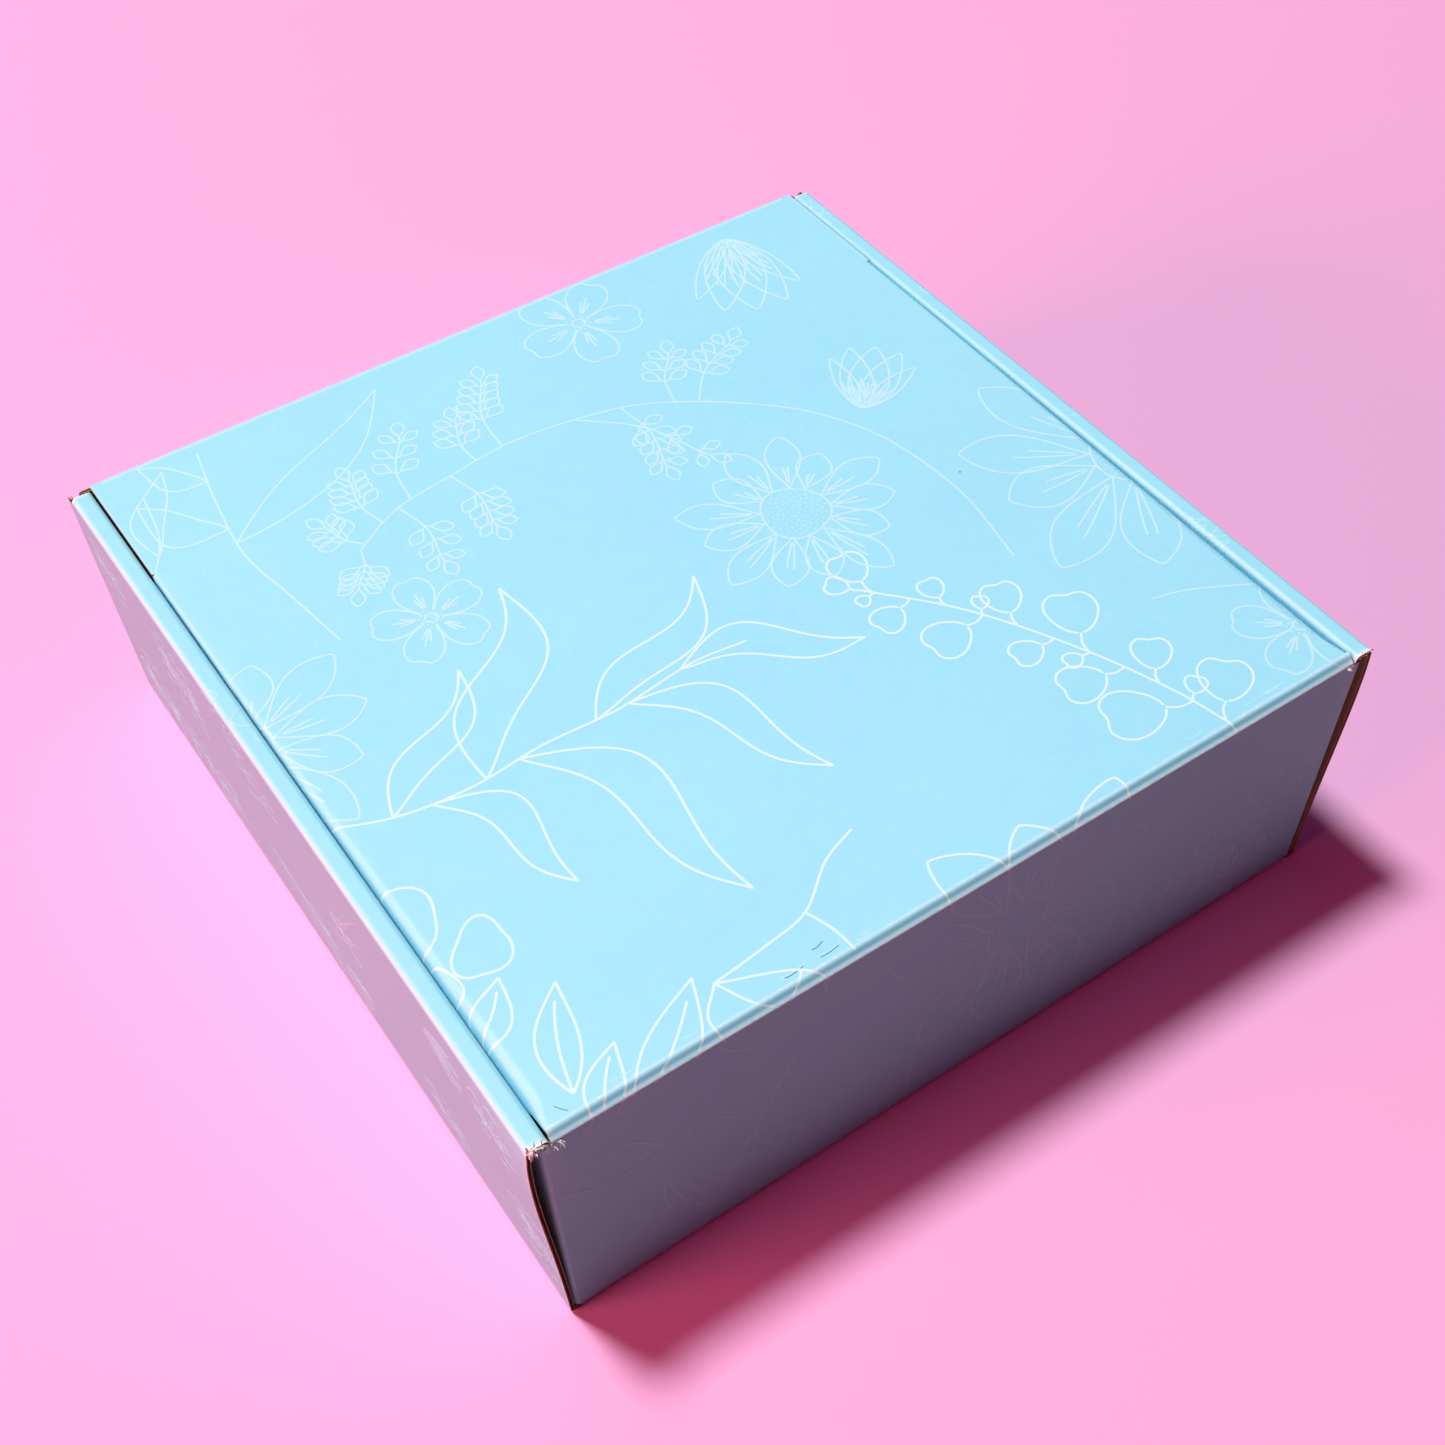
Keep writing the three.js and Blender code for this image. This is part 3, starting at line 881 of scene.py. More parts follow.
# On each side, three pieces of one strip that goes up, over the top and down again:
# outer wall, rolled top, and the inner wall with its two tabs
def buildSides():
    tabHalf, tabTaper, tabMiddle = 21.0, 2.0, 80.0
    tabDrop = 1.5
    innerTopS = rollInner[1] + split["rollPast"]
    innerFoot = sidePath["length"] - tabDrop

    # inner wall: v from 0 at the roll to 1 at the foot, which reaches lower in the two tabs
    def placeInner(y, v, depth):
        beside = np.abs(np.abs(y) - tabMiddle)
        drop = tabDrop * np.clip((tabHalf - beside) / tabTaper, 0, 1)
        return placeSide(y, innerTopS + v * (innerFoot - innerTopS + drop), depth)

    for word, side in (("Left", -1), ("Right", 1)):
        low = word.lower()
        start, end = sideLow[1], sideHigh[1]
        reach = split["rollPast"]
        ys = stations([start, start + 8, end - 60, end - 8, end], [1.0, 6.0, 3.0, 0.5])
        ss = stations([0, sideFoot[0], sideFoot[1], rollOuter[0] - reach], [0.5, 0.25, 5.0])
        layers = boardLayers(mirrored(placeSide, side), ys, ss, alongV=True)
        wearAndHighlight = wearAndHighlightNear((2, 0.5, 1.2, 0.45), (1, halfDepth, 0.7, 0.75), (1, start, 0.7, 0.6))
        piece = makePiece(f"sideOuter{word}", layers, boardAcrossY, wearAndHighlight)
        finishPiece(piece, "tray", "wall_board", f"side_outer_{low}")

        ys = stations([topLow[1], topLow[1] + 3, end - 3, end], [0.5, 4.0, 0.5])
        ss = stations([rollOuter[0] - reach, rollOuter[0], rollOuter[1], rollInner[0], rollInner[1],
                       innerTopS], [0.5, 0.2, 0.6, 0.2, 0.5])
        layers = boardLayers(mirrored(placeSide, side), ys, ss, alongV=True)
        wearAndHighlight = wearAndHighlightNear((0, halfWidth - 0.7, 0.5, 0.5), (1, halfDepth, 1.6, 0.9),
                        (1, topLow[1], 0.9, 0.8), (0, innerTopX + 0.5, 0.35, 0.3))
        piece = makePiece(f"sideTop{word}", layers, boardAcrossY, wearAndHighlight)
        finishPiece(piece, "tray", "rolled_top_board", f"side_top_{low}")

        tabs = [end * tabMiddle + offset for end in (-1, 1) for offset in
                (-tabHalf, tabTaper - tabHalf, tabHalf - tabTaper, tabHalf)]
        ys = stations([innerLow[1], *tabs, innerHigh[1]], [5, 1, 5, 1, 5, 1, 5, 1, 5])
        layers = boardLayers(mirrored(placeInner, side), ys, stations([0, 0.9, 1], [0.06, 0.02]), alongV=True)
        piece = makePiece(f"sideInner{word}", layers, boardAcrossY, wearAndHighlightNear((1, innerHigh[1], 1.0, 0.5)))
        finishPiece(piece, "tray", "inner_board", f"side_inner_{low}")


corner = {"length": 95.0, "taper": 6.0, "round": 6.0, "frontTop": 97.5}


# Four flaps that turn round the corners from the front and back walls, inside the side walls
def buildCornerFlaps():
    low = flapLow[2]
    for endWord, end in (("front", -1), ("back", 1)):
        top = lowEdgeZ if end > 0 else corner["frontTop"]
        path = roundedPath(
            [(cornerStartX, halfDepth), (floorHigh[0], halfDepth),
             (floorHigh[0], halfDepth - corner["length"] - board["thick"])],
            [shape["cornerFold"]],
        )
        fold = path["folds"][0]

        # rows stay level; each reaches as far as the tapered, rounded end lets it
        def placeCorner(z, v, depth, path=path, fold=fold, top=top):
            full = path["length"]
            taper = corner["taper"] / (full - fold[1])
            reach = np.minimum(full, fold[1] + (top - z) / taper + 1e-3)
            near = np.minimum(z - low, top - corner["taper"] - z)
            into = np.clip(corner["round"] - near, 0, corner["round"])
            rounding = corner["round"] - np.sqrt(np.clip(corner["round"] ** 2 - into ** 2, 0, None))
            reach = np.maximum(np.minimum(reach, full - rounding), fold[1] + 0.4)
            distance = np.where(v <= 1, v * fold[1], fold[1] + (v - 1) * (reach - fold[1]))
            x, y = alongPath(path, distance, -depth * crushed(distance, path["folds"]))
            return np.stack([x + innerLean * z, end * y, z + 0 * x], -1)

        for word, side in (("Left", -1), ("Right", 1)):
            zs = stations([low, low + 6, top - 12, top], [0.8, 5.0, 0.8])
            shares = stations([0, 1, 2], [0.09, 0.1])
            layers = boardLayers(mirrored(placeCorner, side), zs, shares, alongV=True)
            piece = makePiece(f"{endWord}CornerFlap{word}", layers, boardAcrossZ,
                              wearAndHighlightNear((0, floorHigh[0] + 2.0, 0.6, 0.25)))
            finishPiece(piece, "tray", "flap_board", f"{endWord}_corner_flap_{word.lower()}")


lowEdgeZ = alongPath(longPath, np.array(lowCrease[0] - split["hinge"]), 0.0)[1]

print("long strip")
buildLongStrip()
print("hinge")
buildHinge()
print("lid and tuck flap")
buildLid()
print("dust flaps")
buildDustFlaps()
print("side walls")
buildSides()
print("corner flaps")
buildCornerFlaps()


# The drawing is laid out flat: x across the box, t along the lid towards the hinge and on
# down the back wall. Each motif gives polylines in millimetres.
ink = {
    "width": 0.78,
    "proud": 0.02,  # the least that a line stands off the paper
    "spread": 0.03,  # further for some lines, so that no two that cross lie in one plane
    "ramp": 0.008,  # and along each line
    "sunk": 0.05,
    "fineStep": 0.2,
    "keepEach": 4,
    "wallWidth": 0.7,
    "spacing": 52.0,  # between the motifs scattered on the walls
}


# A smooth line through points: Catmull-Rom, then evened out to the fine step
def through(points):
    points = np.asarray(points, float)
    points = np.concatenate([2 * points[:1] - points[1:2], points, 2 * points[-1:] - points[-2:-1]])
    t = np.linspace(0, 1, 12, endpoint=False)[None, :, None]
    p0, p1, p2, p3 = (points[i:len(points) - 3 + i, None] for i in range(4))
    curve = 0.5 * (2 * p1 + (p2 - p0) * t + (2 * p0 - 5 * p1 + 4 * p2 - p3) * t ** 2
                   + (3 * p1 - p0 - 3 * p2 + p3) * t ** 3)
    curve = np.concatenate([curve.reshape(-1, 2), points[-2:-1]])
    return evened(curve)


# The same line with even steps
def evened(curve):
    gone = np.concatenate([[0], np.cumsum(np.hypot(*np.diff(curve, axis=0).T))])
    count = max(2, int(gone[-1] / ink["fineStep"]) + 1)
    even = np.linspace(0, gone[-1], count)
    return np.stack([np.interp(even, gone, curve[:, 0]), np.interp(even, gone, curve[:, 1])], -1)


# Points turned by an angle and moved to a middle
def turned(points, angle, middle):
    c, s = math.cos(angle), math.sin(angle)
    return np.asarray(points) @ np.array([[c, s], [-s, c]]) + np.asarray(middle)


# A leaf from its base to its tip: its middle line bows by a sine and sways by a full sine wave,
# and its sides stand off it by a skewed sine, which a slower sine makes a little wavy
def leaf(base, tip, width, bow=0.0, skew=0.85, wave=0.0, rib=False, sway=0.0):
    base, tip = np.asarray(base, float), np.asarray(tip, float)
    along = tip - base
    length = np.hypot(*along)
    along = along / length
    aside = np.array([-along[1], along[0]])
    s = np.linspace(0, 1, 60)
    bend = bow * np.sin(math.pi * s) + sway * length * np.sin(2 * math.pi * s)
    middle = base + length * s[:, None] * along + bend[:, None] * aside
    off = width / 2 * np.sin(math.pi * s ** skew) ** 1.05
    one = off * (1 + wave * np.sin(5 * s)) + 0.15 * width * wave * np.sin(2 * math.pi * s)
    two = off * (1 - wave * np.sin(5 * s)) - 0.15 * width * wave * np.sin(2 * math.pi * s)
    sides = [middle + one[:, None] * aside, middle - two[:, None] * aside]
    lines = [evened(side) for side in sides]
    if rib:
        lines.append(evened(middle[:50]))
    return lines


# A branch: a stem through points, and leaves that leave it at shares of its length
def leafyBranch(stem, leaves, **form):
    line = through(stem)
    lines = [line]
    for share, tip, width, bow in leaves:
        base = line[int(share * (len(line) - 1))]
        lines += leaf(base, tip, width, bow, **form)
    return lines


# One petal outwards from the middle at an angle: sides by a skewed sine, and veins inside
def petal(middle, angle, inner, outer, width, skew=1.5, veins=2):
    s = np.linspace(0, 1, 40)
    off = width / 2 * np.sin(math.pi * s ** skew) ** 0.8
    away = inner + (outer - inner) * s
    outline = np.concatenate([np.stack([away, off], -1), np.stack([away, -off], -1)[::-1]])
    lines = [evened(turned(outline, angle, middle))]
    for vein in range(veins):
        lift = (vein - (veins - 1) / 2) * 0.34
        reach = slice(4, 22 + int(6 * math.sin(vein + angle)))
        lines.append(evened(turned(np.stack([away, lift * off * 1.1], -1)[reach], angle, middle)))
    return lines


# Dots in a disc, laid on a sunflower spiral, each a short dash
def stipple(middle, radius, count):
    i = np.arange(1, count + 1)
    away = radius * np.sqrt(i / count)
    angle = i * 2.39996
    spots = np.stack([away * np.cos(angle), away * np.sin(angle)], -1) + np.asarray(middle)
    tilt = angle * 1.7
    half = 0.28 * np.stack([np.cos(tilt), np.sin(tilt)], -1)
    return [np.stack([spot - step, spot + step]) for spot, step in zip(spots, half)]


# A closed, slightly uneven round line
def ring(middle, radius, wobble=0.05, stretch=1.0, angle=0.0):
    a = np.linspace(0, 2 * math.pi, 72)
    r = radius * (1 + wobble * np.sin(3 * a + radius))
    return evened(turned(np.stack([r * np.cos(a), stretch * r * np.sin(a)], -1), angle, middle))


# A daisy: pointed petals of changing length round a dotted middle
def daisy(middle, radius, count, start=0.0, core=0.24, width=0.42):
    lines = []
    for k in range(count):
        angle = start + 2 * math.pi * k / count + 0.07 * math.sin(3.1 * k)
        length = radius * (0.9 + 0.13 * math.sin(2.3 * k + 1.0))
        lines += petal(middle, angle, core * radius, length, width * radius, 1.35)
    lines.append(ring(middle, core * radius))
    lines += stipple(middle, core * radius * 0.92, 85)
    return lines


# A blossom: broad round petals with a soft notch, stamens and a small eye
def blossom(middle, radius, count, start):
    lines, veins = [], 3
    for k in range(count):
        angle = start + 2 * math.pi * k / count
        s = np.linspace(0, 1, 60)
        swing = (s - 0.5) * 2 * math.pi / count * 0.98
        away = radius * (0.16 + 0.84 * np.sin(math.pi * s) ** 0.42)
        away = away * (1 - 0.07 * np.exp(-(((s - 0.5) / 0.09) ** 2)))
        outline = np.stack([away * np.cos(swing), away * np.sin(swing)], -1)
        lines.append(evened(turned(outline, angle, middle)))
        for vein in range(veins):
            lift = (vein - (veins - 1) / 2) * 0.2
            spoke = [(0.24 * radius, lift * 2), (0.62 * radius * (1 - abs(lift)), lift * 0.36 * radius)]
            lines.append(evened(turned(spoke, angle, middle)))
    return lines + [ring(middle, 0.1 * radius)] + stipple(middle, 0.2 * radius, 26)


# A round leaf on a stalk: an egg-shaped loop with a dip at its tip
def roundLeaf(foot, angle, size, stalk=0.45, dip=0.1):
    a = np.linspace(0.12, 2 * math.pi - 0.12, 70)
    away = size / 2 * (1 - np.cos(a)) * (1 - dip * np.exp(-(((a - math.pi) / 0.32) ** 2)))
    off = 0.46 * size * np.sin(a) * (1 - 0.24 * np.cos(a))
    loop = np.stack([away + stalk * size, off], -1)
    stem = np.array([(0, 0), (size * stalk * 0.5, 0.05 * size), (size * stalk, 0)])
    return [evened(turned(loop, angle, foot)), through(turned(stem, angle, foot))]


# A stem with round leaves to its two sides in turn, larger towards its foot
def roundLeafBranch(stem, count, size, open=1.0):
    line = through(stem)
    lines = [line]
    for k, share in enumerate(np.linspace(0.05, 0.97, count)):
        index = int(share * (len(line) - 1))
        ahead = line[min(index + 10, len(line) - 1)] - line[max(index - 10, 0)]
        heading = math.atan2(ahead[1], ahead[0])
        side = 1 if k % 2 else -1
        big = size * (1.0 - 0.42 * share + 0.2 * math.sin(2.1 * k))
        lines += roundLeaf(line[index], heading + side * (open + 0.2 * math.sin(3 * k)), big)
        if k % 3 == 1:
            lines += roundLeaf(line[index], heading - side * (open + 0.15), 0.36 * big)
    return lines + roundLeaf(line[-1], heading, 0.45 * size)


# A twig whose small loop leaves stand in opposite pairs, with one at its end
def loopTwig(foot, tip, pairs, size):
    foot, tip = np.asarray(foot, float), np.asarray(tip, float)
    along = tip - foot
    aside = np.array([-along[1], along[0]])
    middle = (foot + tip) / 2 + 0.1 * aside
    line = through([foot, middle, tip])
    lines = [line]
    heading = math.atan2(along[1], along[0])
    for share in np.linspace(0.45, 0.95, pairs):
        spot = line[int(share * (len(line) - 1))]
        for side in (-1, 1):
            lines += loop(spot, heading + side * 0.95, size * (1.15 - 0.3 * share))
    return lines + loop(tip, heading, size)


# A narrow drop-shaped loop on a short stalk
def loop(foot, angle, size):
    s = np.linspace(0, 1, 30)
    off = 0.27 * size * np.sin(math.pi * s ** 1.3)
    away = 0.18 * size + 0.95 * size * s
    outline = np.concatenate([np.stack([away, off], -1), np.stack([away, -off], -1)[::-1]])
    outline = np.concatenate([[(0, 0)], outline])
    return [evened(turned(outline, angle, foot))]


# A stem with loop twigs at shares of its length
def loopSprig(stem, twigs, size):
    line = through(stem)
    lines = [line]
    for share, tip, pairs in twigs:
        lines += loopTwig(line[int(share * (len(line) - 1))], tip, pairs, size)
    return lines


# A tulip head: nested petals that share a foot, opening by small angles
def tulip(foot, angle, size):
    lines = []
    for spread, length, width in ((0.0, 1.0, 0.42), (0.28, 0.98, 0.34), (-0.28, 0.98, 0.34),
                                  (0.55, 0.86, 0.22), (-0.55, 0.86, 0.22)):
        lines += petal(foot, angle + spread, 0.0, length * size, width * size, 0.85, veins=3)
    return lines


# The drawing on the lid, the hinge and the back wall. Strong lines first, pale lines second.
def lidDrawing():
    strong, pale = [], []
    strong += leafyBranch(
        [(150, 27), (128, 36), (104, 39), (78, 37), (52, 38), (24, 35), (4, 37)],
        [(0.16, (84, -4), 12, -4), (0.36, (56, -27), 20, -5), (0.62, (2, 4), 14, -6),
         (0.84, (-27, 57), 14, 5), (0.70, (12, 93), 14, 7), (0.44, (57, 116), 17, 9),
         (0.24, (96, 86), 13, 7)],
        skew=0.86, wave=0.2, sway=0.05)
    for base, tip, width, bow in (((131, 158), (116, 136), 11, 2), ((150, 118), (131, 101), 12, -2)):
        strong += leaf(base, tip, width, bow, rib=True)
    strong += leaf((122, 158), (88, 131), 15, -2, rib=True)
    strong += leaf((133, 143), (119, 111), 12, 2, rib=True)
    strong += roundLeafBranch([(-96, 153), (-90, 128), (-78, 98), (-60, 66), (-38, 40)], 11, 18.5, 0.95)
    strong += [through([(22, 115), (35, 120), (50, 131), (66, 134), (84, 136)]),
               through([(50, 131), (47, 140), (46, 149)])]
    strong += [through([(84, 136), (92, 146), (86, 160), (70, 166), (56, 158), (62, 146), (84, 136)]),
               through([(84, 136), (78, 148), (70, 152), (62, 146)])]
    strong += [ring((148, 70), 15.0, 0.1, 0.8), ring((130, 90), 10.0, 0.13, 0.8, 0.9)]
    strong += [ring((147, 95), 7.0, 0.1)]
    strong += daisy((-14, 184.6), 56.0, 10, start=0.2, core=0.2, width=0.35)
    pale += daisy((-42, -1), 39.0, 13, start=0.4, core=0.3, width=0.31)
    pale += daisy((-150, 40), 60.0, 11, start=0.5, core=0.2, width=0.32)
    pale += daisy((152, -12), 44.0, 11, start=0.2, core=0.2, width=0.33)
    pale += blossom((80, -28), 20.0, 5, start=0.9)
    pale += blossom((-36, -127), 24.0, 5, start=0.2)
    pale += blossom((-141, 131), 22.0, 5, start=0.55)
    pale += loopSprig(
        [(-88, 56), (-93, 22), (-89, -12), (-78, -36), (-64, -52), (-44, -68), (-22, -79), (14, -85),
         (44, -82), (66, -78), (84, -68)],
        [(0.50, (-74, -86), 4), (0.53, (-52, -92), 3), (0.60, (-20, -46), 4), (0.66, (-34, -42), 3),
         (0.76, (10, -118), 5), (0.80, (28, -104), 3), (0.84, (42, -54), 4), (0.90, (48, -108), 3),
         (0.92, (64, -50), 3), (0.95, (72, -98), 4), (0.99, (88, -82), 3), (1.0, (92, -54), 4)],
        8.6)
    pale += tulip((-92, -30), -2.35, 34.0)
    pale += tulip((-108, -138), 1.25, 44.0)
    pale += leafyBranch([(108, -36), (112, -62), (116, -88), (113, -116), (108, -142)],
                        [(0.55, (42, -137), 16, -6), (0.62, (136, -128), 15, 5), (0.86, (128, -146), 10, 2)],
                        skew=0.9, wave=0.15)
    pale += leafyBranch([(146, -92), (136, -110), (132, -132)], [(0.3, (122, -140), 11, 3)], wave=0.2)
    pale += [through([(-111, 96), (-124, 100), (-150, 114)])]
    pale += leafyBranch([(66, 182), (78, 206), (92, 232), (100, 250)],
                        [(0.15, (96, 184), 9, 3), (0.4, (62, 226), 8, -3), (0.6, (118, 236), 10, 3)],
                        wave=0.2)
    pale += leaf((143, 178), (108, 190), 16, 3, rib=True) + leaf((110, 208), (96, 240), 9, -2, rib=True)
    pale += roundLeafBranch([(-60, 262), (-76, 236), (-98, 214), (-128, 200)], 9, 17.0)
    pale += blossom((-112, 236), 18.0, 5, start=0.1) + leaf((30, 262), (22, 228), 12, 3, rib=True)
    return strong, pale


# A repeating garden for the panels out of the lid's drawing: motifs at seeded places on a grid
def scattered(low, high, spacing, seedling):
    lines = []
    for i, x in enumerate(np.arange(low[0] + spacing / 2, high[0], spacing)):
        for j, y in enumerate(np.arange(low[1] + spacing / 2, high[1], spacing)):
            spot = np.array([x, y]) + seedling.uniform(-0.16, 0.16, 2) * spacing
            angle, kind = seedling.uniform(0, 2 * math.pi), (i * 3 + j * 2) % 5
            ahead = spot + spacing * 0.42 * np.array([math.cos(angle), math.sin(angle)])
            if kind == 0:
                lines += daisy(spot, spacing * 0.4, 11, angle)
            elif kind == 1:
                side = spacing * 0.3
                tips = [ahead + seedling.uniform(-side, side, 2) for k in range(4)]
                lines += leafyBranch([spot - 0.8 * (ahead - spot), spot, ahead],
                                     [(0.2 + 0.25 * k, tip, side * 0.45, 2) for k, tip in enumerate(tips)],
                                     wave=0.2)
            elif kind == 2:
                lines += blossom(spot, spacing * 0.27, 5, angle)
            elif kind == 3:
                lines += roundLeafBranch([spot - 0.9 * (ahead - spot), spot, ahead], 8, spacing * 0.2)
            else:
                lines += tulip(spot, angle, spacing * 0.42)
    return lines


# Ribbons of ink: each line becomes a flat closed strip a little proud of the paper, where
# place(a, b, depth) gives the surface
def inkLayers(pieces, place, width):
    layers = []
    for number, line in enumerate(pieces):
        ahead = np.gradient(line, axis=0)
        ahead = ahead / np.maximum(np.hypot(*ahead.T), 1e-9)[:, None]
        aside = np.stack([-ahead[:, 1], ahead[:, 0]], -1) * width / 2
        left, right = line + aside, line - aside
        proud = -ink["proud"] - ink["spread"] * (number * 0.618 % 1) - np.linspace(0, ink["ramp"], len(line))
        rows = [place(side[:, 0], side[:, 1], depth) for side, depth in
                ((left, proud), (right, proud), (right, ink["sunk"]), (left, ink["sunk"]))]
        layers.append(closedStrip(rows))
    return layers


# Splits each line where it passes from one part of the print to another. region(line) numbers
# the part for each point, -1 for none; in parts marked curved every fine step stays.
def splitLines(lines, region, curved):
    parts = {}
    for line in lines:
        middle = region((line[:-1] + line[1:]) / 2)
        changes = np.flatnonzero(np.diff(middle)) + 1
        for start, end in zip(np.r_[0, changes], np.r_[changes, len(middle)]):
            which = middle[start]
            if which < 0:
                continue
            piece = line[start:end + 1]
            if which not in curved and len(piece) > 6:
                keep = np.arange(0, len(piece), ink["keepEach"])
                piece = piece[np.unique(np.r_[keep, len(piece) - 1])]
            parts.setdefault(int(which), []).append(piece)
    return parts


# Where the print lies on the lid, the hinge, the back wall and the tuck fold: t runs along the
# lid towards the hinge and on round it at its true length
def placeLidPrint(x, y, depth):
    return placeLid(x, y, depth + 0 * x)


def placeLongPrint(x, t, depth):
    return placeHinge(x, lidDistance(t), depth + 0 * x)


def placeWallPrint(x, t, depth):
    return placeWall(x, lidDistance(t), depth + 0 * x)


def placeTuckPrint(x, t, depth):
    distance = lidDistance(t)
    return placeTuck(x / tuckHalf(distance - frontCrease[1]), distance, depth + 0 * x)


# The print past the lid's flat part runs round the side fold by its own length
def placeSidePrint(x, y, depth):
    side = np.sign(x[0])
    past = np.abs(x) - split["sideX"]
    radius = foldRadius(y)
    turn = math.pi / 2 + dust["lean"]
    flat = foldMiddle(radius) - split["sideX"]
    share = np.where(past < flat, past / flat, 1 + (past - flat) / (radius * turn))
    points = placeDustFold(y, np.minimum(share, 2.0), depth + 0 * x)
    return points * np.array([side, 1, 1])


# Part of the long print that a point is on
def topRegion(points):
    x, t = np.abs(points[:, 0]), points[:, 1]
    distance = lidDistance(t)
    reach = split["hinge"]
    which = np.zeros(len(points), int)
    which[distance < highCrease[1] + reach] = 1
    which[distance < highCrease[0] - reach] = 2
    which[distance < lowCrease[1] + reach] = 3
    which[distance < lowCrease[0] - reach] = 4
    which[(distance > lidDistance(split["frontBack"])) & (x < tuckShape["half"])] = 5
    which[(distance > frontCrease[1] + split["frontPast"]) & (x < tuckShape["half"])] = -1
    which[(t < lidFront + 0.4)] = np.where(x < tuckShape["half"], which, -1)[(t < lidFront + 0.4)]
    onSide = (x > split["sideX"]) & (t > dustFront) & (t < foldBack)
    which[onSide] = np.where(points[:, 0] > 0, 6, 7)[onSide]
    which[onSide & (x > split["sideX"] + 7.0)] = -1
    which[~onSide & (x > lidHalf - 0.4)] = -1
    which[(distance < lowCrease[0] - reach) & (x > cornerStartX - 0.5)] = -1
    which[distance < backFoot[1] - 1.0] = -1
    return which


# One object of ink ribbons
def inkPiece(name, lines, place, material, width):
    return makePiece(name, inkLayers(lines, place, width), (material,))


# The lid's drawing as one piece for each body or crease that it crosses
def buildLidPrint():
    hingePivots = {1: (spineInY, boxTop, 7 * math.pi / 8), 3: (halfDepth, spineLowZ, 5 * math.pi / 8)}
    places = {0: placeLid, 1: placeLongPrint, 2: placeLongPrint, 3: placeLongPrint, 4: placeWallPrint,
              5: placeTuckPrint, 6: placeSidePrint, 7: placeSidePrint}
    names = {0: "Lid", 1: "HighCrease", 2: "Spine", 3: "LowCrease", 4: "BackWall", 5: "TuckCrease",
             6: "DustCreaseRight", 7: "DustCreaseLeft"}
    for word, lines, finish, width in zip(("print", "palePrint"), lidDrawing(),
                                          (printInk, paleInkAndHighlight), (ink["width"], 0.9 * ink["width"])):
        parts = splitLines(lines, topRegion, (1, 2, 3, 5, 6, 7))
        for which, pieces in sorted(parts.items()):
            # painted shade: where the lid's drawing runs onto the back wall, which stands in shadow, it takes
            # the dimmer faint ink
            material = faintAndShadedInk if which == 4 else finish
            piece = inkPiece(word + names[which], pieces, places[which], material, width)
            if which in (0, 2, 4):
                body, slotName = {0: ("lid", "lid_board"), 2: ("hinge", "hinge_board"),
                                  4: ("tray", "wall_board")}[which]
                finishPiece(piece, body, slotName)
            elif which in hingePivots:
                blendPiece(piece)
            elif which == 5:
                blendTuck(piece)
            else:
                blendDust(piece)


# Part of the side strip that a point of its print is on: wall, rolled top, inner wall, or none
def sideRegion(points):
    y, distance = points[:, 0], points[:, 1]
    which = np.zeros(len(points), int)
    which[distance > rollOuter[0] - 2] = 1
    which[distance > rollInner[1] + 2] = 2
    low = np.where(distance < rollOuter[0] - split["rollPast"], sideLow[1],
                   np.where(distance < rollInner[1] + split["rollPast"], topLow[1], innerLow[1]))
    high = np.where(distance < rollInner[1] + split["rollPast"], halfDepth, innerHigh[1])
    outside = (y < low + 0.5) | (y > high - 0.5) | (distance < sideFoot[1])
    which[outside | (distance > sidePath["length"] - 3)] = -1
    return which


# The print on the right side strip and on the front wall
def placeRightPrint(y, distance, depth):
    return placeSide(y, distance, depth + 0 * y)


def placeFrontPrint(x, distance, depth):
    return placeWall(x, distance, depth + 0 * x)


# 0 on the front wall and -1 off it
def frontRegion(points):
    x, distance = np.abs(points[:, 0]), points[:, 1]
    return np.where((x < cornerStartX - 1) & (distance > 0.6) & (distance < frontFoot[0]), 0, -1)


# Scattered motifs on the side strips and the front wall
def buildWallPrints():
    seedling = np.random.default_rng(23)
    for word, side in (("Left", -1), ("Right", 1)):
        lines = scattered((-150, 0), (150, sidePath["length"]), ink["spacing"], seedling)
        parts = splitLines(lines, sideRegion, (1,))
        place = mirrored(placeRightPrint, side)
        pieces = [line for group in parts.values() for line in group]
        piece = inkPiece(f"palePrintSide{word}", pieces, place, faintAndShadedInk, ink["wallWidth"])
        finishPiece(piece, "tray", "wall_board")
    lines = scattered((-140, 0), (140, frontFoot[0]), ink["spacing"], seedling)
    pieces = splitLines(lines, frontRegion, ()).get(0, [])
    piece = inkPiece("palePrintFrontWall", pieces, placeFrontPrint, faintAndShadedInk, ink["wallWidth"])
    finishPiece(piece, "tray", "wall_board")


print("print on the lid and back wall")
buildLidPrint()
print("print on the other walls")
buildWallPrints()


flake = {
    "steps": 8,
    "thin": 0.05,  # half its thickness
    "half": (0.2, 0.62),  # half its width at the root
    "shortest": 0.35,  # share of the longest
    "curl": (0.3, 0.9),
    "corners": ((1, 1), (-1, 1), (-1, -1), (1, -1)),
    "clearX": 0.8,
    "clearZ": 0.35,
}


# A flake is kept only where the hinge strip doesn't sweep as the lid opens
def clearOfHinge(line):
    outside = np.abs(line[:, 0]) > lidHalf + flake["clearX"]
    below = line[:, 2] < spineLowZ - flake["clearZ"]
    return bool(np.all(outside) | np.all(below))


